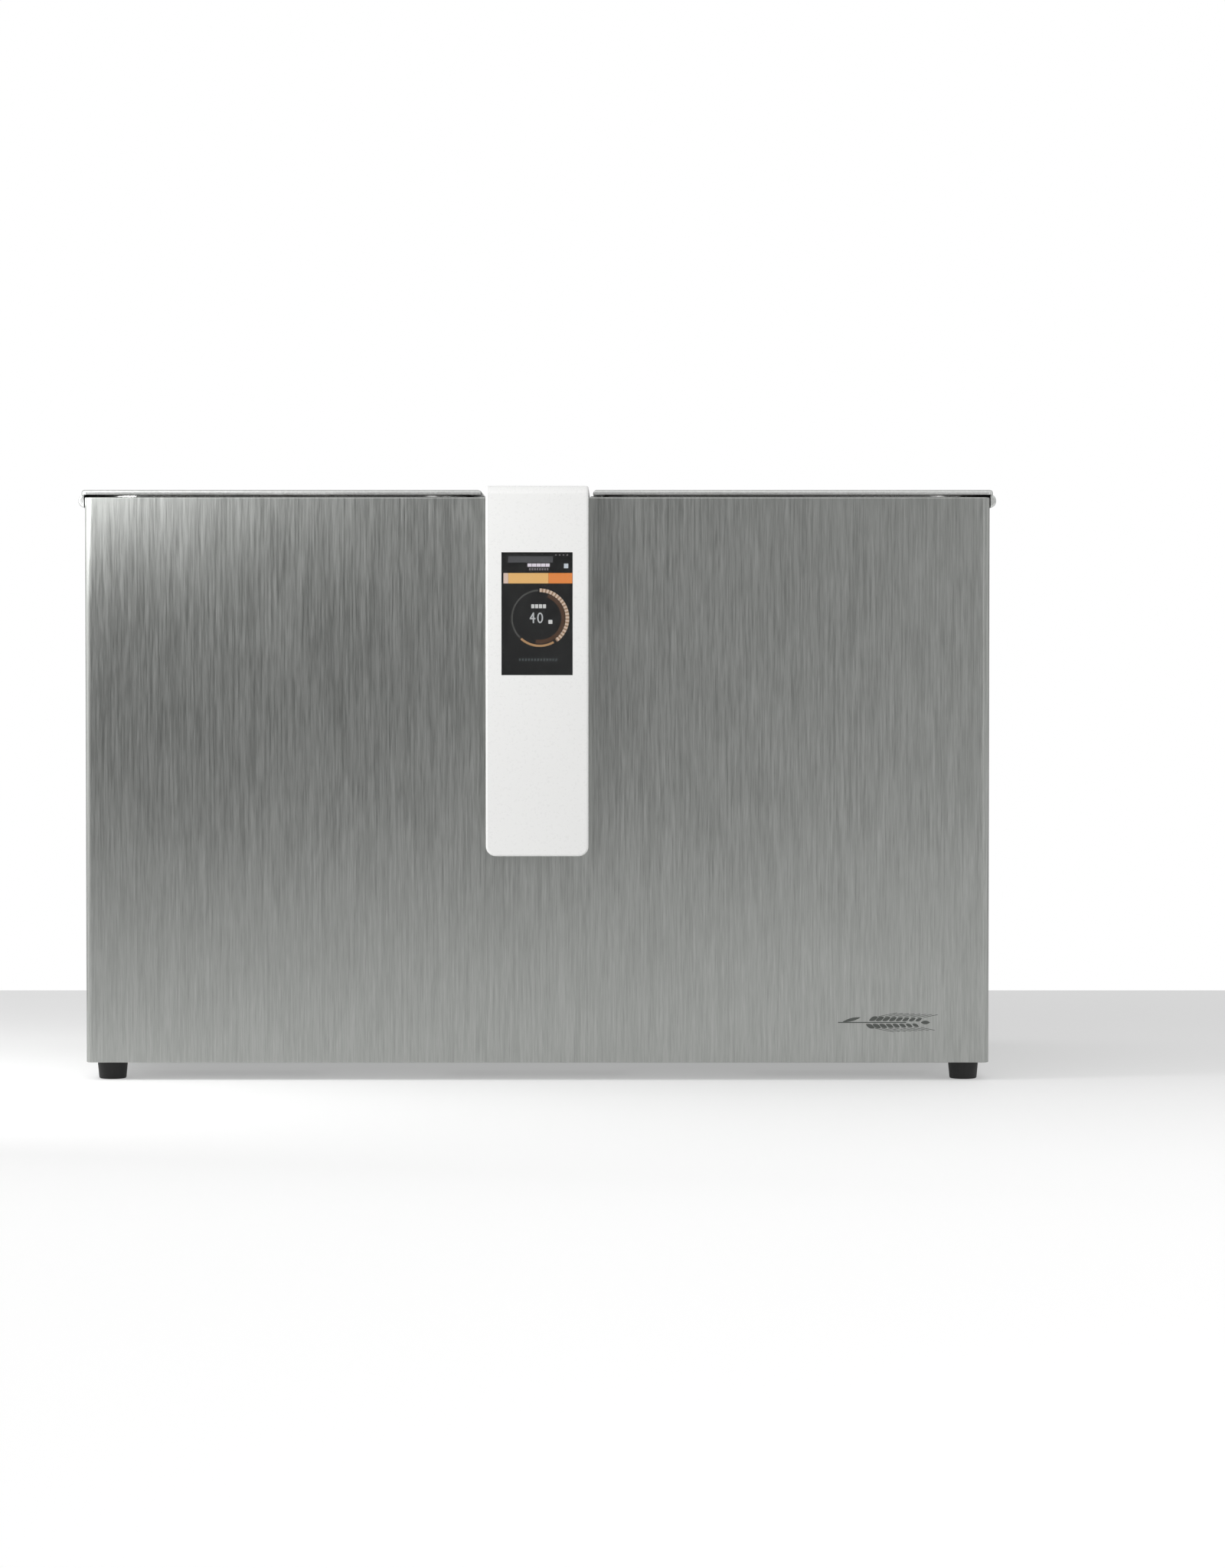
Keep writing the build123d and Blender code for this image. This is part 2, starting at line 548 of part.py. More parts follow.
def hinge_pins():
    """The two long hinge pins of the lids."""
    y = (BRACKET_Y[0] - BRACKET_HALF, BRACKET_Y[-1] + BRACKET_HALF)
    return Compound(children=[hinge_rod(HINGE_PIN_R, side * HINGE_X, y) for side in (-1, 1)])


# ------------------------------------------------------------------ kettles and what is in them
def kettle():
    """A deep-drawn steel kettle with a flat rim, a drain stub and holes for its fittings."""
    wall_x, wall_y = grow(TANK_IN_X, TANK_WALL), grow(TANK_IN_Y, TANK_WALL)
    outer = slab(wall_x, wall_y, (TANK_FLOOR - TANK_WALL, RIM_TOP), TANK_CORNER + TANK_WALL)
    outer = fillet(outer.edges().group_by(Axis.Z)[0], FLOOR_BEND + TANK_WALL)
    rim_x, rim_y = grow(TANK_IN_X, TANK_RIM), grow(TANK_IN_Y, TANK_RIM)
    outer += slab(rim_x, rim_y, (CASE_TOP + SLIP, RIM_TOP), TANK_CORNER + TANK_RIM)
    inner = slab(TANK_IN_X, TANK_IN_Y, (TANK_FLOOR, RIM_TOP + 1), TANK_CORNER)
    inner = fillet(inner.edges().group_by(Axis.Z)[0], FLOOR_BEND)
    tank = outer - inner
    tank += rod(OUTLET_R, (*OUTLET, TANK_FLOOR - 22), (*OUTLET, TANK_FLOOR))
    cuts = [rod(OUTLET_R - 1.0, (*OUTLET, TANK_FLOOR - 23), (*OUTLET, TANK_FLOOR + 1))]
    for x, y in heater_ends():
        cuts.append(rod(4.3, (x, y, TANK_FLOOR - 2), (x, y, TANK_FLOOR + 1)))
    x, z = PROBE
    cuts.append(rod(3.3, (x, TANK_IN_Y[1] - 1, z), (x, TANK_IN_Y[1] + 2, z)))
    y, z = SPOUT
    cuts.append(rod(5.3, (TANK_IN_X[0] - 2, y, z), (TANK_IN_X[0] + 1, y, z)))
    return tank - cuts


def mash_kettle():
    """The left kettle, with four lugs that carry the malt basket."""
    tank = mirrored(kettle())
    for x in (-TANK_X - 70, -TANK_X + 70):
        for wall_y, inward in ((TANK_IN_Y[0], 1), (TANK_IN_Y[1], -1)):
            y = sorted((wall_y - inward * 0.5, wall_y + inward * 15))
            tank += block((x - 10, x + 10), y, (BASKET_Z[0] - 6, BASKET_Z[0] - SLIP))
    return tank


def heater_ends():
    """Where the two ends of a heating element pass through a kettle's floor."""
    return [(TANK_X - 15, 118.0), (TANK_X + 15, 118.0)]


def heater():
    """A tubular heating element bent into a W just above the kettle's floor."""
    level = TANK_FLOOR + 14
    (left, y_end), (right, _) = heater_ends()
    low = TANK_FLOOR - 16
    plan = [(left, y_end), (83, y_end), (83, -85), (123, -85), (123, 70)]
    plan += [(233, 70), (233, -85), (273, -85), (273, y_end), (right, y_end)]
    points = [(left, y_end, low)] + [(x, y, level) for x, y in plan] + [(right, y_end, low)]
    radii = bend_radii(points, 17.0)
    radii[0] = radii[-1] = 9.0
    path = FilletPolyline(*points, radius=radii)
    element = sweep(Plane(origin=path @ 0, z_dir=path % 0) * Circle(4.0), path=path)
    for x, y in heater_ends():
        element += rod(9.0, (x, y, TANK_FLOOR + SLIP), (x, y, TANK_FLOOR + 2))
        element += hexagon(16.0, (x, y, TANK_FLOOR - TANK_WALL - SLIP), (x, y, TANK_FLOOR - 7))
    return element


def temperature_probes():
    """A probe through the rear wall of each kettle, with its nut and washer."""
    x, z = PROBE
    wall = TANK_IN_Y[1]
    probe = rod(3.0, (x, wall - 6.5, z), (x, wall + 9, z))
    probe += rod(7.5, (x, wall - SLIP - 1.5, z), (x, wall - SLIP, z))
    probe += hexagon(13.0, (x, wall + TANK_WALL + SLIP, z), (x, wall + 7, z))
    return Compound(children=[probe, mirrored(probe)])


def return_spouts():
    """An elbow nozzle in each kettle's inner wall, fed from a hose in the spine and clear of the basket."""
    y, z = SPOUT
    wall = TANK_IN_X[0]
    path = FilletPolyline((40.0, y, z - 27), (40.0, y, z), (wall + 3.0, y, z), radius=7.0)
    start = Plane(origin=path @ 0, z_dir=path % 0)
    spout = sweep(start * Circle(SMALL_BARB_R), path=path)
    spout += hexagon(14.0, (wall - TANK_WALL - SLIP, y, z), (wall - TANK_WALL - 2.0, y, z))
    spout += rod(8.0, (wall + SLIP, y, z), (wall + 2.0, y, z))
    spout -= sweep(start * Circle(SMALL_BARB_R - 1.0), path=path)
    return Compound(children=[spout, mirrored(spout)])


def boil_filter():
    """The slotted cap over the boil kettle's drain, which holds back spent hops."""
    z = (TANK_FLOOR + SLIP, TANK_FLOOR + 15)
    cap = rod(25.0, (*OUTLET, z[0]), (*OUTLET, z[1]))
    cap = fillet(cap.edges().group_by(Axis.Z)[-1], 4.0)
    hollow = rod(23.8, (*OUTLET, z[0] - 1), (*OUTLET, z[1] - 4))
    cap -= hollow + rod(19.0, (*OUTLET, z[0]), (*OUTLET, z[1] - 1.2))
    slot = Pos(24.5, 0, z[0] + 6.5) * Box(6, 1.6, 8)
    cuts = [Pos(*OUTLET, 0) * Rot(0, 0, angle) * slot for angle in range(0, 360, 15)]
    knob = rod(4.0, (*OUTLET, z[1] - 1), (*OUTLET, z[1] + 9))
    return cap - cuts + fillet(knob.edges().group_by(Axis.Z)[-1], 1.5)


def malt_basket():
    """The lift-out malt basket: four walls, a rolled rim, a ledge for its screen and four bail ears."""
    shell = slab(BASKET_X, BASKET_Y, BASKET_Z, BASKET_CORNER)
    rim_x, rim_y = grow(BASKET_X, 2.5), grow(BASKET_Y, 2.5)
    rim = slab(rim_x, rim_y, (BASKET_Z[1] - 2.4, BASKET_Z[1]), BASKET_CORNER + 2.5)
    rim_edges = rim.edges().group_by(Axis.Z)
    rim = fillet(rim_edges[0] + rim_edges[-1], 0.9)
    basket = shell + rim
    basket -= slab(grow(BASKET_X, -9), grow(BASKET_Y, -9), grow(BASKET_Z, 1), BASKET_CORNER - 9)
    inner_x, inner_y = grow(BASKET_X, -1), grow(BASKET_Y, -1)
    basket -= slab(inner_x, inner_y, (BASKET_Z[0] + 1, BASKET_Z[1] + 1), BASKET_CORNER - 1)
    for pivot_y, inward in bail_places():
        for side in (-1, 1):
            x = -TANK_X + side * (BAIL_HALF + 9)
            wall = pivot_y - inward * (BAIL_INSET - 0.5)
            ear_y = sorted((wall, pivot_y + inward * 4))
            basket += block(about(x, 2), ear_y, about(BAIL_PIVOT_Z, 4.5))
        low_x, high_x = about(-TANK_X, BAIL_HALF + 15)
        basket -= rod(BAIL_WIRE + 0.06, (low_x, pivot_y, BAIL_PIVOT_Z), (high_x, pivot_y, BAIL_PIVOT_Z))
    return basket


def bail_places():
    """The y of each bail's pivot, and the direction from the wall to the basket's middle."""
    return [(BASKET_Y[0] + BAIL_INSET, 1), (BASKET_Y[1] - BAIL_INSET, -1)]


def basket_handle(pivot_y):
    """A wire bail, hanging down inside the basket's wall, with its ends turned out into the ears."""
    reach = BAIL_HALF + 11.6
    top, low = BAIL_PIVOT_Z, BAIL_PIVOT_Z - BAIL_DROP
    xz = [(-reach, top), (-BAIL_HALF, top), (-BAIL_HALF, low)]
    xz += [(BAIL_HALF, low), (BAIL_HALF, top), (reach, top)]
    points = [(-TANK_X + x, pivot_y, z) for x, z in xz]
    path = FilletPolyline(*points, radius=[4.0, 5.0, 5.0, 4.0])
    return sweep(Plane(origin=path @ 0, z_dir=path % 0) * Circle(BAIL_WIRE), path=path)


def basket_screen():
    """The slotted plate that lies on the basket's ledge."""
    x, y = grow(BASKET_X, -1.6), grow(BASKET_Y, -1.6)
    z = (BASKET_Z[0] + 1 + SLIP, BASKET_Z[0] + 2.6)
    plate = slab(x, y, z, BASKET_CORNER - 2)
    middle = ((x[0] + x[1]) / 2, (y[0] + y[1]) / 2)
    places = [(middle[0] + i * 13, middle[1] + j * 24) for i in range(-7, 8) for j in range(-5, 6)]
    slots = Sketch() + [Pos(*place) * SlotOverall(17, 2.6, 90) for place in places]
    return plate - extrude(Pos(0, 0, z[0] - 1) * slots, 5)


# ------------------------------------------------------------------ hop chamber
def hop_chamber():
    """The tub in the spine that the wort flows through, with a rack plate for four cages."""
    x, y = (-29.0, 29.0), (-134.0, 110.0)
    tub = slab(x, y, (255, CASE_TOP + 1), 8)
    tub += slab(grow(x, 4), grow(y, 4), (CASE_TOP + SLIP, CASE_TOP + 1), 12)
    tub -= slab(grow(x, -1), grow(y, -1), (256, CASE_TOP + 2), 7)
    rack = block((-28.5, 28.5), (-133.5, 109.5), (RACK_Z, RACK_Z + 1.2))
    for centre in CAGE_Y:
        hole_x, hole_y = about(0, CAGE[0] / 2 + 1), about(centre, CAGE[1] / 2 + 1)
        rack -= slab(hole_x, hole_y, (RACK_Z - 1, RACK_Z + 2), 4)
    return tub + rack


def hop_cage(centre):
    """One slotted hop cage with a rim, a floor and a wire loop to lift it by."""
    x, y = about(0, CAGE[0] / 2), about(centre, CAGE[1] / 2)
    top = RACK_Z + 1.2 + SLIP
    low = top + 1.2 - CAGE[2]
    cage = slab(x, y, (low, top + 1.2), 4) + slab(grow(x, 2.5), grow(y, 2.5), (top, top + 1.2), 6)
    cage -= slab(grow(x, -0.9), grow(y, -0.9), (low + 0.9, top + 2), 3)
    for shift in (-9, 0, 9):
        cage -= block(about(shift, 2.5), grow(y, 1), (low + 14, top - 14))
    for shift in (-16, -8, 0, 8, 16):
        cage -= block(grow(x, 1), about(centre + shift, 2.5), (low + 14, top - 14))
    half = CAGE[0] / 2 - 2
    xz = [(-half, top - 4), (-half, top + 10), (half, top + 10), (half, top - 4)]
    loop = FilletPolyline(*[(x, centre, z) for x, z in xz], radius=6)
    return cage + sweep(Plane(origin=loop @ 0, z_dir=loop % 0) * Circle(1.2), path=loop)


def hop_cages():
    """All four hop cages."""
    return Compound(children=[hop_cage(centre) for centre in CAGE_Y])


# ------------------------------------------------------------------ pumps, valves and chiller
def pump_housing():
    """A magnet-drive pump: volute in front, canned motor behind, on a foot plate."""
    axis = lambda y: (TANK_X, y, PUMP_Z)
    body = rod(33, axis(-78), axis(-52)) + rod(30, axis(-52), axis(PUMP_Y[1]))
    body = fillet(body.edges().filter_by(GeomType.CIRCLE).group_by(Axis.Y)[-1], 4.0)
    body += rod(BARB_R, axis(PUMP_Y[0]), axis(-77))
    body += block((TANK_X - 24, TANK_X + 24), (-40, 18), (FLOOR_Z, PUMP_Z - 20))
    outlet_z = PUMP_Z + 18
    body += rod(BARB_R, (TANK_X - 57, VALVE_Y[1], outlet_z), (TANK_X - 15, VALVE_Y[1], outlet_z))
    body -= rod(26, axis(-74), axis(-56)) + rod(13.5, axis(-57), axis(-20))
    body -= rod(BARB_R - 1.5, axis(PUMP_Y[0] - 1), axis(-73))
    body -= rod(BARB_R - 1.5, (TANK_X - 58, VALVE_Y[1], outlet_z), (TANK_X - 10, VALVE_Y[1], outlet_z))
    return body + rod(2.0, axis(-66), axis(-19))


def impeller():
    """The pump's impeller and magnet rotor, which turn on the housing's fixed shaft."""
    axis = lambda y: (TANK_X, y, PUMP_Z)
    wheel = rod(24, axis(-59.5), axis(-57.2)) + rod(12.8, axis(-63), axis(-21))
    for angle in range(0, 360, 60):
        blade = Pos(TANK_X, -62.5, PUMP_Z) * Rot(0, angle, 0) * Pos(17, 0, 3) * Box(13, 8, 1.8)
        wheel += blade
    return wheel - rod(2.05, axis(-64), axis(-20))


def valve_manifold():
    """The valve block between the pumps, with a gallery, four valve bores and side ports."""
    block_y = (VALVE_Y[0] - 21, VALVE_Y[-1] + 21)
    body = block((-20, 20), block_y, (22, 52))
    for x in (-13.5, 13.5):
        body += block(about(x, 3.5), (-90, 0), (FLOOR_Z, 23))
    for side in (-1, 1):
        body += rod(BARB_R, (side * 19, VALVE_Y[1], PORT_Z), (side * 40, VALVE_Y[1], PORT_Z))
        body += rod(SMALL_BARB_R, (side * 11, block_y[1] - 1, PORT_Z), (side * 11, block_y[1] + 16, PORT_Z))
    body += rod(BARB_R, (19, VALVE_Y[3], PORT_Z), (40, VALVE_Y[3], PORT_Z))
    for y in VALVE_Y:
        body -= rod(VALVE_BORE, (0, y, 28), (0, y, 53))
    body -= rod(4.0, (0, VALVE_Y[0], PORT_Z), (0, VALVE_Y[-1], PORT_Z))
    body -= rod(5.5, (-41, VALVE_Y[1], PORT_Z), (41, VALVE_Y[1], PORT_Z))
    body -= rod(5.5, (0, VALVE_Y[3], PORT_Z), (41, VALVE_Y[3], PORT_Z))
    for side in (-1, 1):
        body -= rod(3.8, (side * 11, VALVE_Y[3], PORT_Z), (side * 11, block_y[1] + 17, PORT_Z))
    return body


def valve_spindle(y):
    """A plug valve's spindle: a cross-drilled plug with a round neck and a flatted top."""
    spindle = rod(VALVE_BORE - 0.05, (0, y, 28.5), (0, y, 51.5)) + rod(3.0, (0, y, 51), (0, y, 61))
    spindle -= rod(4.0, (0, y - 10, PORT_Z), (0, y + 10, PORT_Z))
    flats = block((1.9, 4), (y - 4, y + 4), (57, 62)) + block((-4, -1.9), (y - 4, y + 4), (57, 62))
    return spindle - flats


def valve_actuators():
    """Four small gear motors that turn the spindles, on a shared mounting plate."""
    plate = block((-22, 22), (VALVE_Y[0] - 20, VALVE_Y[-1] + 20), (52 + SLIP, 54))
    made = plate
    for y in VALVE_Y:
        made += block((-17, 17), (y - 17, y + 17), (53, 76)) + rod(9, (0, y, 75), (0, y, 92))
    for y in VALVE_Y:
        made -= rod(3.06, (0, y, 51), (0, y, 62))
        made -= rod(VALVE_BORE + 0.5, (0, y, 51), (0, y, 52.5))
    return made


def chiller():
    """A brazed-plate heat exchanger with two ports to the front and two to the rear."""
    body = block(CHILLER_X, CHILLER_Y, grow(CHILLER_Z, -4))
    for i in range(12):
        y = CHILLER_Y[0] + 4 + i * 5.2
        body += slab_y(CHILLER_X, (y - 0.8, y + 0.8), CHILLER_Z, 8)
    for x in (120.0, 250.0):
        body += rod(BARB_R, (x, CHILLER_Y[0] + 1, PORT_Z), (x, CHILLER_Y[0] - 18, PORT_Z))
    for x in (CHILLER_X[0] + 20, CHILLER_X[1] - 20):
        body += block((x - 8, x + 8), (92, 112), (FLOOR_Z, CHILLER_Z[0] + 6))
    return body


def slab_y(x, y, z, corner):
    """A plate that faces the rear, with rounded corners."""
    face = facing_front((x[0] + x[1]) / 2, y[1], (z[0] + z[1]) / 2)
    return extrude(face * RectangleRounded(x[1] - x[0], z[1] - z[0], corner), y[1] - y[0])


def water_inlet_valve():
    """The mains water inlet: a threaded port, a body behind the panel and a solenoid on top."""
    at = lambda y: (WATER_PORT_X, y, REAR_PORT_Z)
    body = rod(THREAD_R, at(150), at(PORT_END)) + rod(16.0, at(112), at(PANEL_Y[0] - SLIP))
    body += hexagon(34.0, at(PANEL_Y[1] + SLIP), at(PANEL_Y[1] + 4.5))
    body += rod(BARB_R, at(92), at(113))
    body += rod(9.0, (WATER_PORT_X, 134, REAR_PORT_Z), (WATER_PORT_X, 134, 102))
    body += rod(17.0, (WATER_PORT_X, 134, 72), (WATER_PORT_X, 134, 98))
    body += block((WATER_PORT_X - 8, WATER_PORT_X + 8), (120, 148), (FLOOR_Z, REAR_PORT_Z))
    body -= rod(10.0, at(PORT_END + 1), at(152)) + rod(5.5, at(91), at(153))
    return body - rod(5.6, (WATER_PORT_X, 134, REAR_PORT_Z), (WATER_PORT_X, 134, 99))


def inlet_plunger():
    """The solenoid's sprung plunger, which closes the inlet's seat when it is down."""
    plunger = rod(5.5, (WATER_PORT_X, 134, REAR_PORT_Z + 6.5), (WATER_PORT_X, 134, 94))
    return fillet(plunger.edges().group_by(Axis.Z)[0], 1.0)


def rear_outlets():
    """The wort outlet and the cooling-water drain: tube stubs with a panel nut each."""
    made = []
    for x in (WORT_PORT_X, DRAIN_PORT_X):
        at = lambda y: (x, y, REAR_PORT_Z)
        stub = rod(STUB_R, at(150), at(PORT_END)) + rod(8.0, at(CHILLER_Y[1] + SLIP), at(PANEL_Y[1] + 3))
        stub += hexagon(24.0, at(PANEL_Y[1] + SLIP), at(PANEL_Y[1] + 5.5))
        stub = chamfer(stub.edges().filter_by(GeomType.CIRCLE).group_by(Axis.Y)[-1], 0.6)
        made.append(stub - rod(STUB_R - 1.2, at(CHILLER_Y[1] + 6), at(PORT_END + 1)))
    return Compound(children=made)


# ------------------------------------------------------------------ power and electronics
def power_inlet():
    """The mains module: a three-pin socket and the housing of the rocker switch, in one flange."""
    flange_y = (PANEL_Y[1] + SLIP, PANEL_Y[1] + 3.2)
    body = slab_y(about(POWER_X, 34), flange_y, about(POWER_Z, 22), 5)
    body = fillet(body.faces().sort_by(Axis.Y)[-1].edges(), 1.0)
    body += block(about(POWER_X, 25.5), (132, flange_y[0] + 1), about(POWER_Z, 16.5))
    socket_x = POWER_X + 10.5
    mouth = facing_front(socket_x, flange_y[1] + 1, POWER_Z)
    outline = chamfer(Rectangle(24.6, 17.4).vertices().group_by(Axis.Y)[-1], 4.0)
    body -= extrude(mouth * outline, 18.0)
    floor_y = flange_y[1] - 17.0
    for x, z in ((0, 2.2), (-7, -2.2), (7, -2.2)):
        blade_x, blade_z = about(socket_x + x, 1), about(POWER_Z + z, 2)
        body += block(blade_x, (floor_y - 1, flange_y[1] - 5.5), blade_z)
    x = about(ROCKER_X, 7.2)
    body -= block(x, (flange_y[1] - 15.5, flange_y[1] + 1), about(POWER_Z, 11))
    return body + rod(1.5, (x[0] - 1, ROCKER_Y, POWER_Z), (x[1] + 1, ROCKER_Y, POWER_Z))


def power_rocker():
    """The rocker, resting on its off side, which turns about the housing's cross pin."""
    yz = [(3.0, -10.0), (6.6, -9.6), (4.4, 0.0), (6.6, 9.6), (3.0, 10.0), (-7.5, 5.0), (-7.5, -5.0)]
    section = Plane(origin=(ROCKER_X - 6.8, 0, 0), x_dir=(0, 1, 0), z_dir=(1, 0, 0))
    rocker = extrude(section * Polygon(*yz, align=None), 13.6)
    rocker -= rod(1.56, (ROCKER_X - 10, 0, 0), (ROCKER_X + 10, 0, 0))
    return Pos(0, ROCKER_Y, POWER_Z) * Rot(-ROCKER_TILT, 0, 0) * rocker


def electronics_bracket():
    """The folded plate in the spine that carries the power supply and the control board."""
    plate = block((-1, 0.5), BRACKET_SPAN, (103, 240))
    shelf = block((-49, 0.5), BRACKET_SPAN, (101.5, 103))
    legs = [block((-49, -47.5), about(y, 8), (FLOOR_Z, 103)) for y in grow(BRACKET_SPAN, -8)]
    bracket = plate + shelf + legs[0] + legs[1] - rod(5.0, (*MAINS_ENTRY, 101), (*MAINS_ENTRY, 104))
    for y in (-60, 0, 60):
        bracket -= rod(12, (-3, y + 10, 232 - 14), (3, y + 10, 232 - 14))
    return bracket


def power_supply():
    """The enclosed low-voltage supply, standing on the bracket's shelf."""
    body = block((-42, -1 - SLIP), (-60, 100), (103 + SLIP, 201))
    for i in range(9):
        body -= block((-43, -41), (-45 + i * 14, -39 + i * 14), (120, 184))
    return body + block((-38, -8), (-72, -59), (112, 124))


def control_board():
    """The control board on four spacers, with its relays, connectors and processor."""
    board = block((8, 9.6), (-85, 95), (112, 232))
    for y in (-77, 87):
        for z in (120, 224):
            board += rod(3.0, (0.5 + SLIP, y, z), (8.5, y, z))
    for i in range(6):
        board += block((9, 25), (-70 + i * 22, -55 + i * 22), (118, 146))
    for i in range(4):
        board += block((9, 19), (-66 + i * 34, -44 + i * 34), (222, 231))
    return board + block((9, 11.5), (-30, -2), (172, 200)) + block((9, 22), (50, 74), (165, 195))


def fan_frame():
    """The exhaust fan's frame, with its hub, spindle and four struts."""
    y = (134.0, 159.0)
    frame = slab_y((-40, 40), y, (FAN_Z - 40, FAN_Z + 40), 5)
    frame -= rod(38.5, (0, y[0] - 1, FAN_Z), (0, y[1] + 1, FAN_Z))
    for angle in (45, 135, 225, 315):
        frame += Pos(0, y[0] + 1.5, FAN_Z) * Rot(0, angle, 0) * Pos(27, 0, 0) * Box(26, 3, 4)
    frame += rod(15.5, (0, y[0], FAN_Z), (0, y[0] + 3.5, FAN_Z))
    for x in (-36, 36):
        for z in (-36, 36):
            frame -= rod(2.2, (x, y[0] - 1, FAN_Z + z), (x, y[1] + 1, FAN_Z + z))
    return frame + rod(2.0, (0, y[0] + 1, FAN_Z), (0, y[1] - 4, FAN_Z))


def fan_rotor():
    """The fan's hub and seven pitched blades, turning on the frame's spindle."""
    y = (139.0, 157.0)
    rotor = rod(16, (0, y[0], FAN_Z), (0, y[1], FAN_Z))
    rotor = fillet(rotor.edges().filter_by(GeomType.CIRCLE).group_by(Axis.Y)[-1], 2.0)
    for i in range(7):
        blade = Rot(0, i * 360 / 7, 0) * Pos(26, 0, 0) * Rot(38, 0, 0) * Box(22, 1.6, 19)
        rotor += Pos(0, sum(y) / 2, FAN_Z) * blade
    return rotor - rod(2.05, (0, y[0] - 1, FAN_Z), (0, y[1] - 1.5, FAN_Z))


# ------------------------------------------------------------------ hoses and wiring
def hoses():
    """The silicone hoses between the kettles, pumps, valve block, chiller and spouts."""
    inner, small = BARB_R + SLIP, SMALL_BARB_R + SLIP
    outlet_z = PUMP_Z + 18
    drain = [(*OUTLET, TANK_FLOOR - 12), (*OUTLET, PUMP_Z), (TANK_X, PUMP_Y[0] + 12, PUMP_Z)]
    feed = [(TANK_X - 44, VALVE_Y[1], outlet_z), (90, VALVE_Y[1], outlet_z)]
    feed += [(66, VALVE_Y[1], PORT_Z), (26, VALVE_Y[1], PORT_Z)]
    end_y = VALVE_Y[-1] + 21
    rise = [(11, end_y + 3, PORT_Z), (11, end_y + 24, PORT_Z), (16, end_y + 44, 48), (25, 97, 72)]
    rise += [(37, 107, 98), (40, SPOUT[0], 132), (40, SPOUT[0], SPOUT[1] - 16)]
    made = []
    for points, outer, bore in ((drain, HOSE_R, inner), (feed, HOSE_R, inner), (rise, SMALL_HOSE_R, small)):
        right = hose(points, outer, bore, 26.0)
        made += [right, mirrored(right)]
    to_chiller = [(26, VALVE_Y[3], PORT_Z), (75, VALVE_Y[3], PORT_Z)]
    to_chiller += [(120, 30, PORT_Z), (120, CHILLER_Y[0] - 4, PORT_Z)]
    from_mains = [(WATER_PORT_X, 106, REAR_PORT_Z), (WATER_PORT_X, 62, REAR_PORT_Z), (80, 48, 84)]
    from_mains += [(210, 44, 84), (246, 24, 64), (250, 34, PORT_Z), (250, CHILLER_Y[0] - 4, PORT_Z)]
    made.append(hose(to_chiller, HOSE_R, inner, 26.0))
    made.append(hose(from_mains, HOSE_R, inner, 26.0))
    return Compound(children=made)


def wiring():
    """The display's flat cable, and the mains lead inside the case."""
    flat = [(14, FRONT + 6, GLASS_Z - 50), (14, FRONT + 12, 245), (14, -120, 236), (14, -88, 228)]
    path = FilletPolyline(*flat, radius=bend_radii(flat, 12.0))
    ribbon = sweep(Plane(origin=path @ 0, z_dir=path % 0, x_dir=(1, 0, 0)) * Rectangle(10, 0.9), path=path)
    mains = [(POWER_X, 131.9, 68), (POWER_X, 110, 68), (-200, 104, 92), (-100, 100, 92)]
    mains += [(-70, 75, 92), (*MAINS_ENTRY, 92), (*MAINS_ENTRY, 103)]
    return Compound(children=[ribbon, bent_bar(mains, 3.5, 20.0)])


# ------------------------------------------------------------------ the whole machine
def all_nodes():
    """Every node's name and shape."""
    nodes = {
        "outer_wrap": outer_wrap(),
        "rear_panel": rear_panel(),
        "base_tray": base_tray(),
        "casing_screws": casing_screws(),
        "top_deck": top_deck(),
        "fascia": fascia(),
        "spine_frame": spine_frame(),
        "hop_hatch": hop_hatch(),
        "hatch_pin": hatch_pin(),
        "touch_glass": touch_glass(),
        "lcd_module": lcd_module(),
        "display_board": display_board(),
        "hinge_brackets": hinge_brackets(),
        "hinge_pins": hinge_pins(),
        "mash_tank": mash_kettle(),
        "boil_tank": kettle(),
        "malt_basket": malt_basket(),
        "basket_screen": basket_screen(),
        "boil_heater": heater(),
        "mash_heater": mirrored(heater()),
        "temperature_probes": temperature_probes(),
        "return_spouts": return_spouts(),
        "boil_filter": boil_filter(),
        "hop_chamber": hop_chamber(),
        "hop_cages": hop_cages(),
        "boil_pump": pump_housing(),
        "mash_pump": mirrored(pump_housing()),
        "boil_impeller": impeller(),
        "mash_impeller": mirrored(impeller()),
        "valve_manifold": valve_manifold(),
        "valve_actuators": valve_actuators(),
        "chiller": chiller(),
        "water_inlet_valve": water_inlet_valve(),
        "inlet_plunger": inlet_plunger(),
        "rear_outlets": rear_outlets(),
        "power_inlet": power_inlet(),
        "power_rocker": power_rocker(),
        "electronics_bracket": electronics_bracket(),
        "power_supply": power_supply(),
        "control_board": control_board(),
        "fan_frame": fan_frame(),
        "fan_rotor": fan_rotor(),
        "hoses": hoses(),
        "wiring": wiring(),
    }
    for name, x, y in foot_places():
        nodes[name] = foot(x, y)
    for i, y in enumerate(VALVE_Y, start=1):
        nodes[f"valve_spindle_{i}"] = valve_spindle(y)
    for place, (pivot_y, _) in zip(("front", "rear"), bail_places()):
        nodes[f"basket_handle_{place}"] = basket_handle(pivot_y)
    for piece, make in (("cover", lid_cover), ("liner", lid_liner), ("gasket", lid_gasket)):
        nodes[f"lid_right_{piece}"] = make()
        nodes[f"lid_left_{piece}"] = mirrored(make())
    return nodes


os.makedirs("parts", exist_ok=True)
for node, shape in all_nodes().items():
    export_step(shape, f"parts/{node}.step")
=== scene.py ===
import json
import math

import bmesh
import bpy
from mathutils import Matrix, Vector


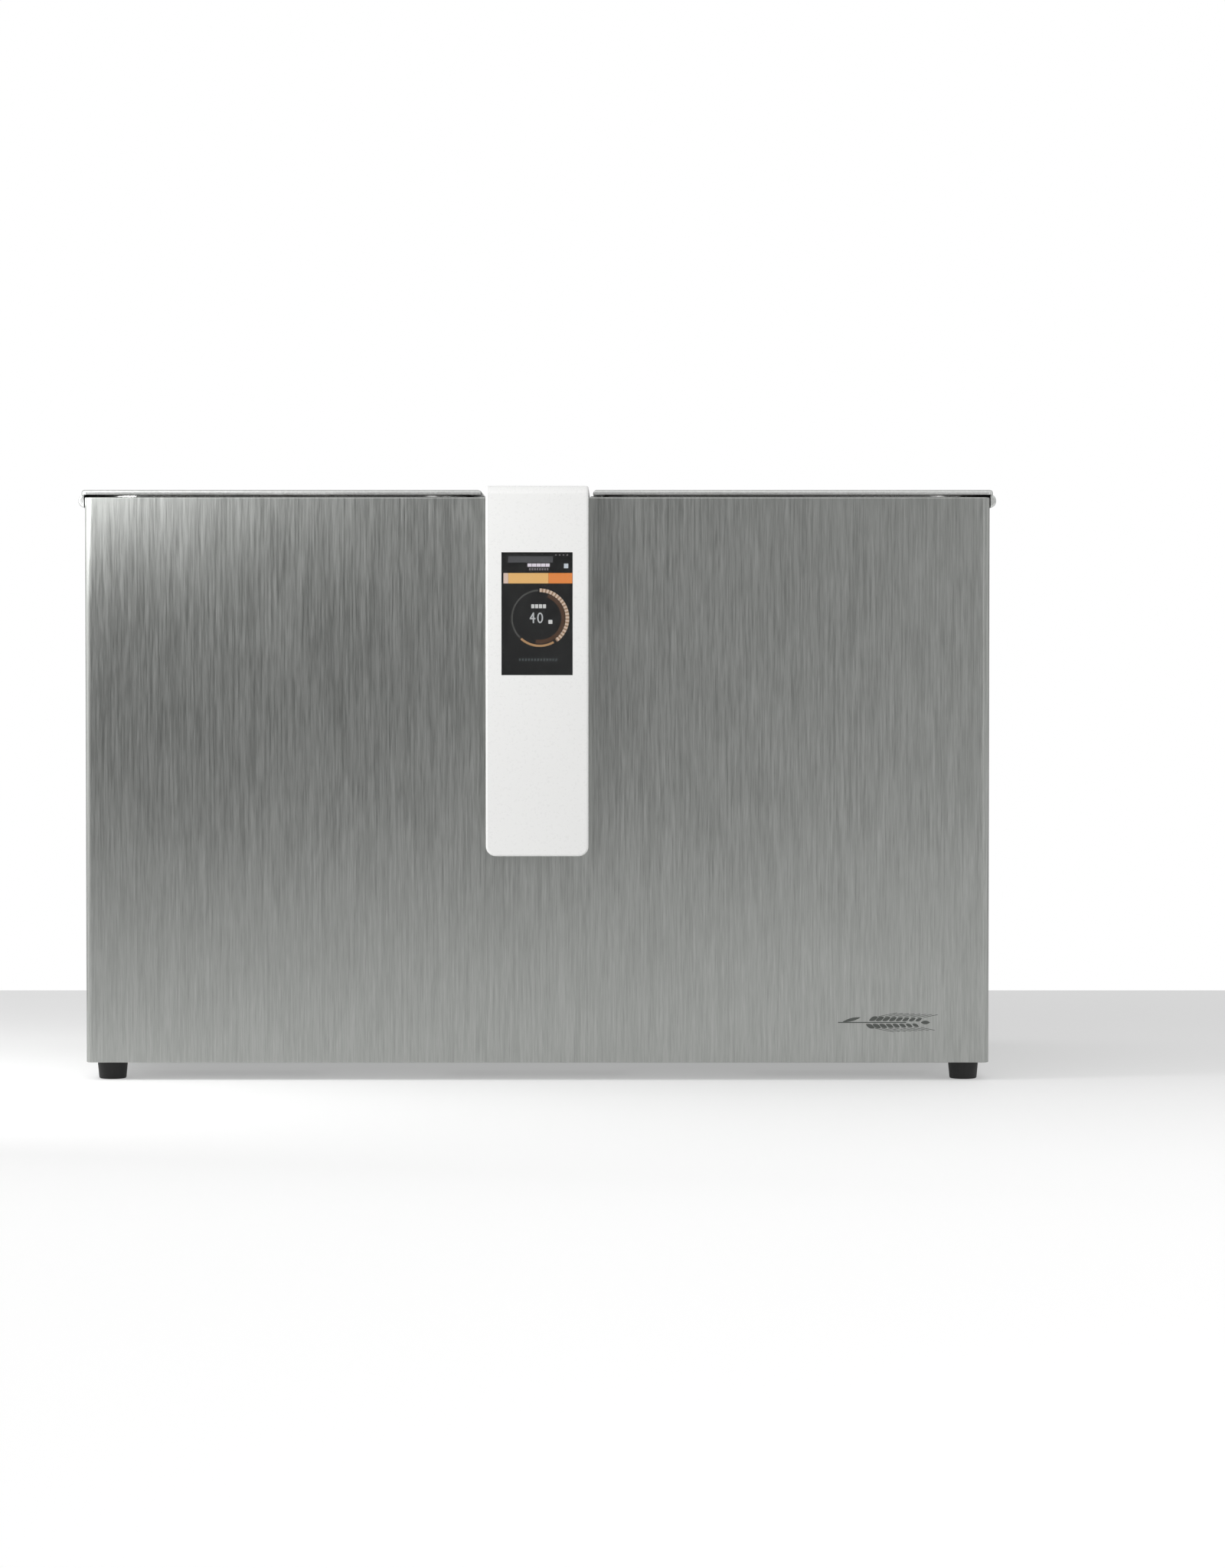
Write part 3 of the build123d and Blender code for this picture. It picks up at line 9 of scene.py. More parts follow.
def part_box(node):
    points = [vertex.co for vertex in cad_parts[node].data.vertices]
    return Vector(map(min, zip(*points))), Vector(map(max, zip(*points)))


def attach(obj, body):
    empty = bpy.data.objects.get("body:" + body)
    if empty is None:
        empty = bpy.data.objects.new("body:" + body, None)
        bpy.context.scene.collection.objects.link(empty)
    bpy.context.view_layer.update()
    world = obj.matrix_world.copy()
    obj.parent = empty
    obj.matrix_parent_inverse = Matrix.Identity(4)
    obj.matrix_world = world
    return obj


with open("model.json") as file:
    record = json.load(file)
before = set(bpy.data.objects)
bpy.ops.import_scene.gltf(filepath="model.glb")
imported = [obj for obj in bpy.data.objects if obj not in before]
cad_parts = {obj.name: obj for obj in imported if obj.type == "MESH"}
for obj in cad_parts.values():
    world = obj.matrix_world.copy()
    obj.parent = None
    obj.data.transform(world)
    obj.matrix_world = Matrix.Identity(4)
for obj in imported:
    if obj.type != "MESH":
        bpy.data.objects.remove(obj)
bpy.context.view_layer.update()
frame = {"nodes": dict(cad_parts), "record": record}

# A brushed-steel countertop brewer with a white fascia and a lit touch display, on a pale studio floor.
# Sizes are in metres, in the frame of the CAD model: +Z up, the front towards -Y.

MM = 0.001

# ------------------------------------------------------------------ places read from the frame
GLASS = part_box("touch_glass")
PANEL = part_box("lcd_module")
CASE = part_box("outer_wrap")
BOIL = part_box("boil_tank")
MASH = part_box("mash_tank")
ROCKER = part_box("power_rocker")
CASE_FRONT = CASE[0].y
SCREEN_Z = (GLASS[0].z + GLASS[1].z) / 2

# ------------------------------------------------------------------ sizes of the added details
SCREEN_GAP = (GLASS[1].y, PANEL[0].y)  # the thin air gap between cover glass and display panel
LIT_T = 0.05 * MM  # thickness of the lit shapes on the display
RING_R = 19.2 * MM  # progress ring, to the middle of its band
RING_CENTRE = (1.8 * MM, SCREEN_Z - 3.0 * MM)
NUMBER_Z = SCREEN_Z - 6.5 * MM  # the foot of the number in the ring
BAR_BELOW_TOP = (21.4, 14.2)  # the progress bar's edges, in millimetres below the glass's top
MARK_CENTRE = (247.0 * MM, 40.5 * MM)  # the etched barley ear, on the case front
MARK_HALF = 38.0 * MM  # half its length
EAR_PAIRS = 8  # pairs of grains on the ear
EAR_PITCH = 4.5 * MM  # from one pair to the next
EAR_TAPER = 0.035  # how much of the first pair's size each later pair loses
EAR_TILT = 24  # degrees that a grain leans away from the stalk
BEARD_REACH = 13.0 * MM
MARK_T = 0.04 * MM  # how far a mark stands on each side of the face it is on
LITRES = range(4, 21)  # level marks, one for each litre
LITRE_STEP = 12.4 * MM
LITRE_ZERO = 23.0 * MM  # from a kettle's lowest point to where the scale would start
KETTLE_RIM = 8.0 * MM  # from a kettle's rear edge to the inner face of its rear wall
LEVEL_ASIDE = 60.0 * MM  # from a kettle's middle to its level marks
LONG_HALF, SHORT_HALF = 8.0 * MM, 4.0 * MM  # half the length of a long level mark and of a short one
LEVEL_PEN = 0.8 * MM  # width of a level mark
LEVEL_NUMBER = 7.0 * MM  # height of the numbers beside the long marks
NUMBER_ASIDE = 11.0 * MM  # from a mark's middle to its number
SWITCH_REACH = 5.2 * MM  # from the rocker's middle to each of its marks
DIGIT_WIDTH, DIGIT_PEN, DIGIT_PITCH = 0.56, 0.13, 0.72  # numerals, as shares of their height
LENS_ROUNDING = 0.8  # below 1, a pointed shape's sides are fuller than a sine curve


# ------------------------------------------------------------------ node helpers
NOISE_RANGE = (0.3, 0.7)


def new_material(name):
    """A node material with one Principled shader."""
    material = bpy.data.materials.new(name)
    material.use_nodes = True
    tree = material.node_tree
    tree.nodes.clear()
    output = tree.nodes.new("ShaderNodeOutputMaterial")
    shader = tree.nodes.new("ShaderNodeBsdfPrincipled")
    tree.links.new(shader.outputs[0], output.inputs[0])
    return material, tree, shader


def noise(tree, per_metre, detail=3.0, roughness=0.55, distortion=0.0):
    """Noise over the object's own coordinates, with its own frequency on each axis."""
    place = tree.nodes.new("ShaderNodeTexCoord")
    mapping = tree.nodes.new("ShaderNodeMapping")
    mapping.inputs["Scale"].default_value = per_metre
    texture = tree.nodes.new("ShaderNodeTexNoise")
    texture.inputs["Scale"].default_value = 1.0
    texture.inputs["Detail"].default_value = detail
    texture.inputs["Roughness"].default_value = roughness
    texture.inputs["Distortion"].default_value = distortion
    tree.links.new(place.outputs["Object"], mapping.inputs["Vector"])
    tree.links.new(mapping.outputs[0], texture.inputs["Vector"])
    return texture.outputs["Fac"]


def ramp(tree, value, low_in, high_in, low_out, high_out):
    """A value mapped smoothly from one range to another."""
    node = tree.nodes.new("ShaderNodeMapRange")
    node.interpolation_type = "SMOOTHSTEP"
    node.inputs["From Min"].default_value = low_in
    node.inputs["From Max"].default_value = high_in
    node.inputs["To Min"].default_value = low_out
    node.inputs["To Max"].default_value = high_out
    tree.links.new(value, node.inputs["Value"])
    return node.outputs[0]


def spread(tree, value, low, high):
    """A noise value, most of which lies in NOISE_RANGE, spread between two limits."""
    return ramp(tree, value, *NOISE_RANGE, low, high)


def combine(tree, operation, first, second):
    """Two values, sockets or numbers, put together by a maths node."""
    node = tree.nodes.new("ShaderNodeMath")
    node.operation = operation
    for socket, value in zip(node.inputs, (first, second)):
        if isinstance(value, (int, float)):
            socket.default_value = value
        else:
            tree.links.new(value, socket)
    return node.outputs[0]


def add_colour(tree, shader, factor, dark, light):
    """A base colour between two, by a factor."""
    node = tree.nodes.new("ShaderNodeMix")
    node.data_type = "RGBA"
    node.inputs["A"].default_value = (*dark, 1.0)
    node.inputs["B"].default_value = (*light, 1.0)
    tree.links.new(factor, node.inputs["Factor"])
    tree.links.new(node.outputs["Result"], shader.inputs["Base Color"])


def add_roughness(tree, shader, *parts):
    """A roughness that is one value, or the sum of two."""
    value = parts[0] if len(parts) == 1 else combine(tree, "ADD", *parts)
    tree.links.new(value, shader.inputs["Roughness"])


def add_bump(tree, shader, height, depth, strength):
    """Relief of a given depth in metres."""
    node = tree.nodes.new("ShaderNodeBump")
    node.inputs["Distance"].default_value = depth
    node.inputs["Strength"].default_value = strength
    tree.links.new(height, node.inputs["Height"])
    tree.links.new(node.outputs[0], shader.inputs["Normal"])


# ------------------------------------------------------------------ metals
ALONG, ACROSS = 30.0, 1050.0  # how often the grain changes in a metre, along its lines and across them
GRAIN = {"Y": (ACROSS, ALONG, ACROSS), "Z": (ACROSS, ACROSS, ALONG)}  # by the axis that it runs along
FINE, COARSE = 1.9, 0.7  # the grain's two layers, as multiples of those rates
FINE_SHARE, COARSE_SHARE = 0.55, 0.45  # what each layer adds to the whole
GRAIN_TONE = (0.20, 0.80)  # the part of the grain's range that runs from the dark colour to the light one


def steel_grain(tree, along):
    """Drawn grain along one axis, from a fine layer and a coarse one."""
    fine = noise(tree, [FINE * rate for rate in GRAIN[along]], detail=3.0, roughness=0.6)
    coarse = noise(tree, [COARSE * rate for rate in GRAIN[along]], detail=2.0, roughness=0.5)
    fine_part = combine(tree, "MULTIPLY", fine, FINE_SHARE)
    coarse_part = combine(tree, "MULTIPLY", coarse, COARSE_SHARE)
    return combine(tree, "ADD", fine_part, coarse_part)


def brushed_steel(name, dark, light, along, rough, anisotropy=0.75, turns_about="Z"):
    """Steel with drawn grain along one axis, and a highlight stretched around another."""
    material, tree, shader = new_material(name)
    grain = steel_grain(tree, along)
    smudge = noise(tree, (5.0, 5.0, 3.0), detail=2.0, roughness=0.5, distortion=0.4)
    add_colour(tree, shader, ramp(tree, grain, *GRAIN_TONE, 0.0, 1.0), dark, light)
    wide = spread(tree, smudge, rough - 0.004, rough + 0.006)
    narrow = spread(tree, grain, -0.035, 0.045)
    add_roughness(tree, shader, wide, narrow)
    shader.inputs["Metallic"].default_value = 1.0
    shader.inputs["Anisotropic"].default_value = anisotropy
    tangent = tree.nodes.new("ShaderNodeTangent")
    tangent.direction_type = "RADIAL"
    tangent.axis = turns_about
    tree.links.new(tangent.outputs[0], shader.inputs["Tangent"])
    add_bump(tree, shader, grain, depth=0.02 * MM, strength=0.25)
    return material


def drawn_steel(name, dark, light, rough):
    """Polished pressed steel with faint cloudy polishing marks."""
    material, tree, shader = new_material(name)
    polish = noise(tree, (260.0,) * 3, detail=5.0, roughness=0.6)
    cloud = noise(tree, (14.0,) * 3, detail=3.0, roughness=0.5, distortion=1.2)
    add_colour(tree, shader, spread(tree, cloud, 0.0, 1.0), dark, light)
    wide = spread(tree, cloud, rough - 0.04, rough + 0.05)
    narrow = spread(tree, polish, -0.03, 0.03)
    add_roughness(tree, shader, wide, narrow)
    shader.inputs["Metallic"].default_value = 1.0
    add_bump(tree, shader, polish, depth=0.01 * MM, strength=0.2)
    return material


def turned_metal(name, dark, light, rough):
    """Turned metal, with fine rings around a part that lies along Y."""
    material, tree, shader = new_material(name)
    rings = noise(tree, (60.0, 3400.0, 60.0), detail=2.0, roughness=0.5)
    add_colour(tree, shader, spread(tree, rings, 0.0, 1.0), dark, light)
    add_roughness(tree, shader, spread(tree, rings, rough - 0.05, rough + 0.06))
    shader.inputs["Metallic"].default_value = 1.0
    add_bump(tree, shader, rings, depth=0.015 * MM, strength=0.3)
    return material


# ------------------------------------------------------------------ plastics, rubber and glass
def moulded_plastic(name, colour, rough, rate=900.0, depth=0.02 * MM, coat=0.0, shift=0.06):
    """Moulded plastic with slight shifts of tone. Rate, in a metre, and depth are its fine texture's."""
    material, tree, shader = new_material(name)
    texture = noise(tree, (rate,) * 3, detail=3.0, roughness=0.6)
    cloud = noise(tree, (11.0,) * 3, detail=2.0, roughness=0.5)
    dark = [channel * (1.0 - shift) for channel in colour]
    add_colour(tree, shader, spread(tree, cloud, 0.0, 1.0), dark, colour)
    add_roughness(tree, shader, spread(tree, texture, rough - 0.04, rough + 0.05))
    shader.inputs["Coat Weight"].default_value = coat
    shader.inputs["Coat Roughness"].default_value = 0.08
    add_bump(tree, shader, texture, depth, strength=0.3)
    return material


def print_ink(name, colour, rough, shift):
    """A printed or etched mark, with a very fine texture."""
    return moulded_plastic(name, colour, rough, rate=1200.0, depth=0.01 * MM, shift=shift)


def rubber(name, colour, rough):
    """Matte rubber, dusty with a fine grain."""
    material = moulded_plastic(name, colour, rough, rate=1500.0, depth=0.04 * MM, shift=0.25)
    shader = material.node_tree.nodes["Principled BSDF"]
    shader.inputs["Specular IOR Level"].default_value = 0.35
    shader.inputs["Sheen Weight"].default_value = 0.08
    return material


def silicone(name, colour):
    """Milky silicone that lets some light in."""
    material = moulded_plastic(name, colour, 0.42, rate=600.0, shift=0.05)
    shader = material.node_tree.nodes["Principled BSDF"]
    shader.inputs["Subsurface Weight"].default_value = 0.25
    shader.inputs["Subsurface Radius"].default_value = (0.004, 0.0038, 0.0034)
    return material


def cover_glass(name):
    """The clear cover glass of the display."""
    material, tree, shader = new_material(name)
    smear = noise(tree, (70.0, 70.0, 35.0), detail=4.0, roughness=0.6, distortion=1.0)
    add_roughness(tree, shader, ramp(tree, smear, 0.35, 0.7, 0.03, 0.10))
    shader.inputs["Base Color"].default_value = (0.96, 0.97, 0.98, 1.0)
    shader.inputs["Transmission Weight"].default_value = 1.0
    shader.inputs["IOR"].default_value = 1.46
    return material


def display_black(name):
    """The dark display panel, with faint lighter patches where the backlight leaks."""
    material, tree, shader = new_material(name)
    leak = noise(tree, (14.0, 1.0, 11.0), detail=2.0, roughness=0.5)
    add_colour(tree, shader, spread(tree, leak, 0.0, 1.0), (0.012, 0.012, 0.012), (0.026, 0.026, 0.025))
    shader.inputs["Roughness"].default_value = 0.35
    return material


def circuit_green(name):
    """Solder mask with a fine pattern of tracks showing through."""
    material, tree, shader = new_material(name)
    pattern = noise(tree, (420.0, 420.0, 90.0), detail=1.0, roughness=0.3)
    tracks = ramp(tree, pattern, 0.48, 0.53, 0.0, 1.0)
    add_colour(tree, shader, tracks, (0.012, 0.085, 0.035), (0.03, 0.16, 0.07))
    shader.inputs["Roughness"].default_value = 0.35
    add_bump(tree, shader, tracks, depth=0.03 * MM, strength=0.4)
    return material


def lit(name, colour):
    """A lit shape on the display."""
    material, _, shader = new_material(name)
    shader.inputs["Base Color"].default_value = (0.02, 0.02, 0.02, 1.0)
    shader.inputs["Emission Color"].default_value = (*colour, 1.0)
    shader.inputs["Emission Strength"].default_value = 1.0
    return material


SLOT_MATERIALS = {
    "case_steel": brushed_steel("case_steel", (0.31, 0.32, 0.305), (0.49, 0.50, 0.485), "Z", 0.34),
    "panel_steel": brushed_steel("panel_steel", (0.48, 0.49, 0.48), (0.60, 0.61, 0.60), "Z", 0.42,
                                 anisotropy=0.4),
    "kettle_steel": drawn_steel("kettle_steel", (0.56, 0.56, 0.55), (0.68, 0.68, 0.67), 0.24),
    "heater_steel": drawn_steel("heater_steel", (0.36, 0.33, 0.29), (0.50, 0.48, 0.44), 0.34),
    "wire_steel": drawn_steel("wire_steel", (0.58, 0.58, 0.58), (0.68, 0.68, 0.68), 0.20),
    "port_steel": turned_metal("port_steel", (0.54, 0.54, 0.53), (0.68, 0.68, 0.67), 0.26),
    "valve_brass": turned_metal("valve_brass", (0.60, 0.43, 0.19), (0.76, 0.58, 0.30), 0.28),
    "supply_metal": drawn_steel("supply_metal", (0.38, 0.39, 0.40), (0.48, 0.49, 0.50), 0.45),
    "white_shell": moulded_plastic("white_shell", (0.81, 0.81, 0.80), 0.30, rate=700.0,
                                   depth=0.008 * MM, coat=0.25, shift=0.012),
    "screen_glass": cover_glass("screen_glass"),
    "display_panel": display_black("display_panel"),
    "circuit_board": circuit_green("circuit_board"),
    "foot_rubber": rubber("foot_rubber", (0.022, 0.022, 0.022), 0.72),
    "silicone": silicone("silicone", (0.70, 0.69, 0.66)),
    "pump_plastic": moulded_plastic("pump_plastic", (0.035, 0.035, 0.038), 0.46),
    "inlet_plastic": moulded_plastic("inlet_plastic", (0.024, 0.024, 0.026), 0.30),
    "valve_plastic": moulded_plastic("valve_plastic", (0.60, 0.57, 0.50), 0.45),
    "cable_sheath": moulded_plastic("cable_sheath", (0.26, 0.26, 0.27), 0.48),
}
# The lids' steel is lighter than the case's: a painted highlight that brightens the lids' front band.
BRIGHT_PAINTED_LIDS = brushed_steel("bright_painted_lids", (0.56, 0.57, 0.555), (0.74, 0.75, 0.735), "Y", 0.36,
                          anisotropy=0.55, turns_about="Y")
ETCHED = print_ink("etched_mark", (0.075, 0.082, 0.075), 0.5, shift=0.2)
LEVEL_MARKS = print_ink("level_marks", (0.16, 0.16, 0.16), 0.55, shift=0.2)
SWITCH_PRINT = print_ink("switch_print", (0.78, 0.78, 0.76), 0.5, shift=0.05)


def dress_cad_nodes():
    """Each CAD node takes the material of its slot, and the lids take grain that runs front to back, in a
    lighter steel that paints a highlight on their front band.
    """
    slots = {row["node"]: row["material_slot"] for row in frame["record"]["subparts"]}
    for name, node in frame["nodes"].items():
        material = SLOT_MATERIALS[slots[name]]
        # the lids get the lighter steel, a painted highlight on their front band
        if name in ("lid_left_cover", "lid_right_cover"):
            material = BRIGHT_PAINTED_LIDS
        for slot in node.material_slots:
            slot.material = material


# ------------------------------------------------------------------ flat shapes
# Each is a band between two lines of points, and whether its ends meet.
def bar(x, z):
    """An upright rectangle between its limits."""
    return [(x[0], z[0]), (x[1], z[0])], [(x[0], z[1]), (x[1], z[1])], False


def stroke(start, end, width):
    """A straight stroke of a given width."""
    run = Vector(end) - Vector(start)
    aside = Vector((-run.y, run.x)).normalized() * width / 2
    first = [tuple(Vector(p) - aside) for p in (start, end)]
    second = [tuple(Vector(p) + aside) for p in (start, end)]
    return first, second, False


def arc(centre, radii, width, start=0.0, end=360.0, steps=64):
    """A band along part of an ellipse, clockwise from twelve o'clock, in degrees."""
    closed = end - start >= 360.0
    count = steps if closed else steps + 1
    turns = [math.radians(start + (end - start) * i / steps) for i in range(count)]
    lines = []
    for side in (-0.5, 0.5):
        reach = [radius + side * width for radius in radii]
        x = [centre[0] + reach[0] * math.sin(turn) for turn in turns]
        z = [centre[1] + reach[1] * math.cos(turn) for turn in turns]
        lines.append(list(zip(x, z)))
    return lines[0], lines[1], closed


def lens(centre, length, width, tilt, steps=14):
    """A pointed grain shape, its long axis turned up from +X by tilt degrees."""
    along = Vector((math.cos(math.radians(tilt)), math.sin(math.radians(tilt))))
    aside = Vector((-along.y, along.x))
    lines = []
    for side in (-1, 1):
        line = []
        for i in range(steps + 1):
            share = i / steps
            bulge = math.sin(math.pi * share) ** LENS_ROUNDING * width / 2
            line.append(tuple(Vector(centre) + along * (share - 0.5) * length + aside * side * bulge))
        lines.append(line)
    return lines[0], lines[1], False


def digit(which, low_left, height):
    """One of the numerals that the display and the kettles need, drawn with strokes and arcs."""
    x, z = low_left
    pen = height * DIGIT_PEN
    left, right = x + pen / 2, x + height * DIGIT_WIDTH - pen / 2
    low, top = z + pen / 2, z + height - pen / 2
    centre, middle = (left + right) / 2, z + height / 2
    wide, tall = (right - left) / 2, (top - middle) / 2
    upper, lower = (centre, middle + tall), (centre, middle - tall)
    post, shelf = right - pen, middle - tall / 3  # the upright and the crossbar of the 4
    shapes = {
        "0": [arc((centre, middle), (wide, 2 * tall), pen)],
        "1": [stroke((centre, z), (centre, z + height), pen),
              stroke((left, top - wide), (centre, top), pen)],
        "2": [arc(upper, (wide, tall), pen, -80, 130),
              stroke((right - pen / 2, middle), (left, low), pen),
              stroke((left, low), (right + pen / 2, low), pen)],
        "4": [stroke((post, z), (post, z + height), pen),
              stroke((left, shelf), (post, top), pen),
              stroke((left - pen / 3, shelf), (right + pen / 2, shelf), pen)],
        "5": [stroke((left, top), (right, top), pen),
              stroke((left, top + pen / 2), (left, middle), pen),
              arc(lower, (wide, tall * 1.1), pen, -60, 230)],
    }
    return shapes[which]


def number(text, low_left, height):
    """A row of numerals."""
    shapes = []
    for i, character in enumerate(text):
        shapes += digit(character, (low_left[0] + i * height * DIGIT_PITCH, low_left[1]), height)
    return shapes


def add_band(mesh, band, y):
    """One band as a thin closed solid between two planes that face the front and rear."""
    first, second, closed = band
    rings = []
    for points, depth in ((first, y[0]), (second, y[0]), (second, y[1]), (first, y[1])):
        rings.append([mesh.verts.new((px, depth, pz)) for px, pz in points])
    count = len(first)
    spans = range(count) if closed else range(count - 1)
    for i in spans:
        j = (i + 1) % count
        for near, far in zip(rings, rings[1:] + rings[:1]):
            mesh.faces.new((near[i], near[j], far[j], far[i]))
    if not closed:
        for i in (0, count - 1):
            mesh.faces.new([ring[i] for ring in rings])


def flat_piece(name, bands, y, material, body):
    """A named piece made of thin shapes that face the front."""
    mesh = bmesh.new()
    for band in bands:
        add_band(mesh, band, y)
    bmesh.ops.remove_doubles(mesh, verts=mesh.verts, dist=1e-7)
    bmesh.ops.recalc_face_normals(mesh, faces=mesh.faces)
    data = bpy.data.meshes.new(name)
    mesh.to_mesh(data)
    mesh.free()
    piece = bpy.data.objects.new(name, data)
    bpy.context.scene.collection.objects.link(piece)
    data.materials.append(material)
    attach(piece, body)
    return piece


# ------------------------------------------------------------------ the display's lit graphics
def screen_piece(name, bands, colour):
    """Lit shapes in the gap behind the cover glass."""
    middle = sum(SCREEN_GAP) / 2
    y = (middle - LIT_T / 2, middle + LIT_T / 2)
    flat_piece(name, bands, y, lit(name, colour), "chassis")


def across(left, right):
    """Two places across the display, given in millimetres from its middle."""
    return left * MM, right * MM


def below_top(low, high):
    """Two heights given in millimetres below the top of the cover glass, the lower one first."""
    return GLASS[1].z - low * MM, GLASS[1].z - high * MM


def beside_number(low, high):
    """Two heights given in millimetres above the foot of the number."""
    return NUMBER_Z + low * MM, NUMBER_Z + high * MM


def dashes(x, z, count, fill=0.62):
    """A dotted line that stands for a line of small type."""
    step = (x[1] - x[0]) / count
    return [bar((x[0] + i * step, x[0] + (i + fill) * step), z) for i in range(count)]


def ring_part(width, start, end, inset=0.0):
    """A band along part of the progress ring, or inside it by an inset."""
    return arc(RING_CENTRE, (RING_R - inset, RING_R - inset), width, start, end)


def ring_segments(width, start, end, count, share):
    """Part of the progress ring as a row of short arcs, each between two shares of its step."""
    step = (end - start) / count
    low, high = share
    limits = [(start + (i + low) * step, start + (i + high) * step) for i in range(count)]
    return [arc(RING_CENTRE, (RING_R, RING_R), width, *limit, steps=3) for limit in limits]


def screen_heading():
    """A title band, two lines of small type, the status dots and a menu icon."""
    title_band = bar(across(-20.0, 11.0), below_top(7.0, 2.6))
    header = dashes(across(-6.6, 9.0), below_top(9.9, 7.6), 5, 0.92)
    subheader = dashes(across(-5.5, 8.5), below_top(12.3, 10.8), 8)
    status = dashes(across(12.5, 23.0), below_top(2.2, 1.3), 4, 0.4)
    menu_icon = bar(across(18.6, 21.6), below_top(10.9, 7.7))
    screen_piece("screen_title_band", [title_band], (0.060, 0.060, 0.064))
    screen_piece("screen_header", header, (0.72, 0.66, 0.72))
    screen_piece("screen_subheader", subheader, (0.19, 0.17, 0.18))
    screen_piece("screen_status", status, (0.16, 0.15, 0.15))
    screen_piece("screen_menu_icon", [menu_icon], (0.52, 0.56, 0.60))


def screen_bar():
    """The progress bar: a pale start, a part done, and a redder part left that ends at the glass's edge."""
    z = below_top(*BAR_BELOW_TOP)
    edge = GLASS[1].x - 0.1 * MM
    screen_piece("screen_bar_start", [bar(across(-23.2, -20.0), z)], (0.66, 0.50, 0.42))
    screen_piece("screen_bar_done", [bar(across(-19.9, 7.8), z)], (0.76, 0.44, 0.15))
    screen_piece("screen_bar_left", [bar((7.9 * MM, edge), z)], (0.74, 0.23, 0.045))


def screen_ring():
    """The progress ring: ticks and dimmer gaps where it is done, two thinner bands, and a glow inside."""
    ticks = ring_segments(2.5 * MM, 0, 144, 20, (0.0, 0.6))
    gaps = ring_segments(2.5 * MM, 0, 144, 20, (0.62, 0.98))
    screen_piece("screen_ring_done", ticks, (0.60, 0.47, 0.36))
    screen_piece("screen_ring_gaps", gaps, (0.30, 0.18, 0.10))
    screen_piece("screen_ring_inner", [ring_part(2.6 * MM, 20, 190, 2.9 * MM)], (0.060, 0.024, 0.008))
    screen_piece("screen_ring_next", [ring_part(1.5 * MM, 150, 222)], (0.40, 0.23, 0.10))
    screen_piece("screen_ring_rest", [ring_part(1.2 * MM, 225, 357)], (0.055, 0.055, 0.050))


def screen_readings():
    """The number in the ring with its unit and label, and a dim line of type near the display's foot."""
    unit = bar(across(7.8, 10.6), beside_number(-0.5, 2.2))
    label = dashes(across(-4.0, 6.7), beside_number(10.3, 13.0), 4, 0.8)
    footer = dashes(across(-12.6, 14.8), beside_number(-26.2, -24.4), 13)
    screen_piece("screen_number", number("40", (-5.2 * MM, NUMBER_Z), 7.3 * MM), (0.46, 0.47, 0.47))
    screen_piece("screen_unit", [unit], (0.60, 0.60, 0.58))
    screen_piece("screen_label", label, (0.58, 0.58, 0.56))
    screen_piece("screen_footer", footer, (0.062, 0.072, 0.072))


# ------------------------------------------------------------------ marks on the case, kettles and switch
def barley_mark():
    """An etched ear of barley on its side: a stalk with a leaf, two rows of grains and their beards."""
    cx, cz = MARK_CENTRE
    stalk = stroke((cx - MARK_HALF, cz), (cx + 0.25 * MARK_HALF, cz), 0.7 * MM)
    last_grain = lens((cx + 0.60 * MARK_HALF, cz), 6.4 * MM, 2.6 * MM, 0)
    leaf = lens((cx - 0.75 * MARK_HALF, cz + 2.0 * MM), 13.0 * MM, 2.2 * MM, 14)
    bands = [stalk]
    for i in range(EAR_PAIRS):
        x = cx - 0.38 * MARK_HALF + i * EAR_PITCH
        size = 1.0 - EAR_TAPER * i
        for side in (-1, 1):
            middle = (x + side * 1.1 * MM, cz + side * 2.6 * MM * size)
            tip = (middle[0] + 3.4 * MM, middle[1] + side * 1.5 * MM)
            beard_end = (tip[0] + BEARD_REACH * size, tip[1] + side * 2.6 * MM * size)
            bands.append(lens(middle, 6.6 * MM * size, 2.9 * MM * size, side * EAR_TILT))
            bands.append(stroke(tip, beard_end, 0.35 * MM))
    bands += [last_grain, leaf]
    y = (CASE_FRONT - MARK_T, CASE_FRONT + MARK_T)
    flat_piece("etched_barley", bands, y, ETCHED, "chassis")


def level_marks(name, tank, side):
    """Litre marks on a kettle's rear wall: a long line and a number every five litres, short lines else."""
    wall = tank[1].y - KETTLE_RIM
    x = (tank[0].x + tank[1].x) / 2 + side * LEVEL_ASIDE
    bands = []
    for litre in LITRES:
        z = tank[0].z + LITRE_ZERO + litre * LITRE_STEP
        long = litre % 5 == 0
        half = LONG_HALF if long else SHORT_HALF
        bands.append(stroke((x - half, z), (x + half, z), LEVEL_PEN))
        if long:
            bands += number(str(litre), (x + NUMBER_ASIDE, z - LEVEL_NUMBER / 2), LEVEL_NUMBER)
    flat_piece(name, bands, (wall - MARK_T, wall + MARK_T), LEVEL_MARKS, "chassis")


def switch_mark(name, bands, at_z):
    """Marks printed on one half of the rocker, laid on its sloping face, which is found from behind it."""
    rocker = frame["nodes"]["power_rocker"]
    behind = Vector(((ROCKER[0].x + ROCKER[1].x) / 2, ROCKER[1].y + 50.0 * MM, at_z))
    _, place, normal, _ = rocker.ray_cast(behind, Vector((0, -1, 0)))
    piece = flat_piece(name, bands, (-MARK_T, MARK_T), SWITCH_PRINT, "power_rocker")
    turn = Vector((0, 1, 0)).rotation_difference(normal).to_matrix().to_4x4()
    piece.data.transform(Matrix.Translation(place) @ turn)


def switch_marks():
    """The usual line and circle of a mains switch."""
    middle = (ROCKER[0].z + ROCKER[1].z) / 2
    line = stroke((0, -1.8 * MM), (0, 1.8 * MM), 0.7 * MM)
    circle = arc((0, 0), (1.6 * MM, 1.6 * MM), 0.6 * MM, steps=32)
    switch_mark("switch_on", [line], middle + SWITCH_REACH)
    switch_mark("switch_off", [circle], middle - SWITCH_REACH)


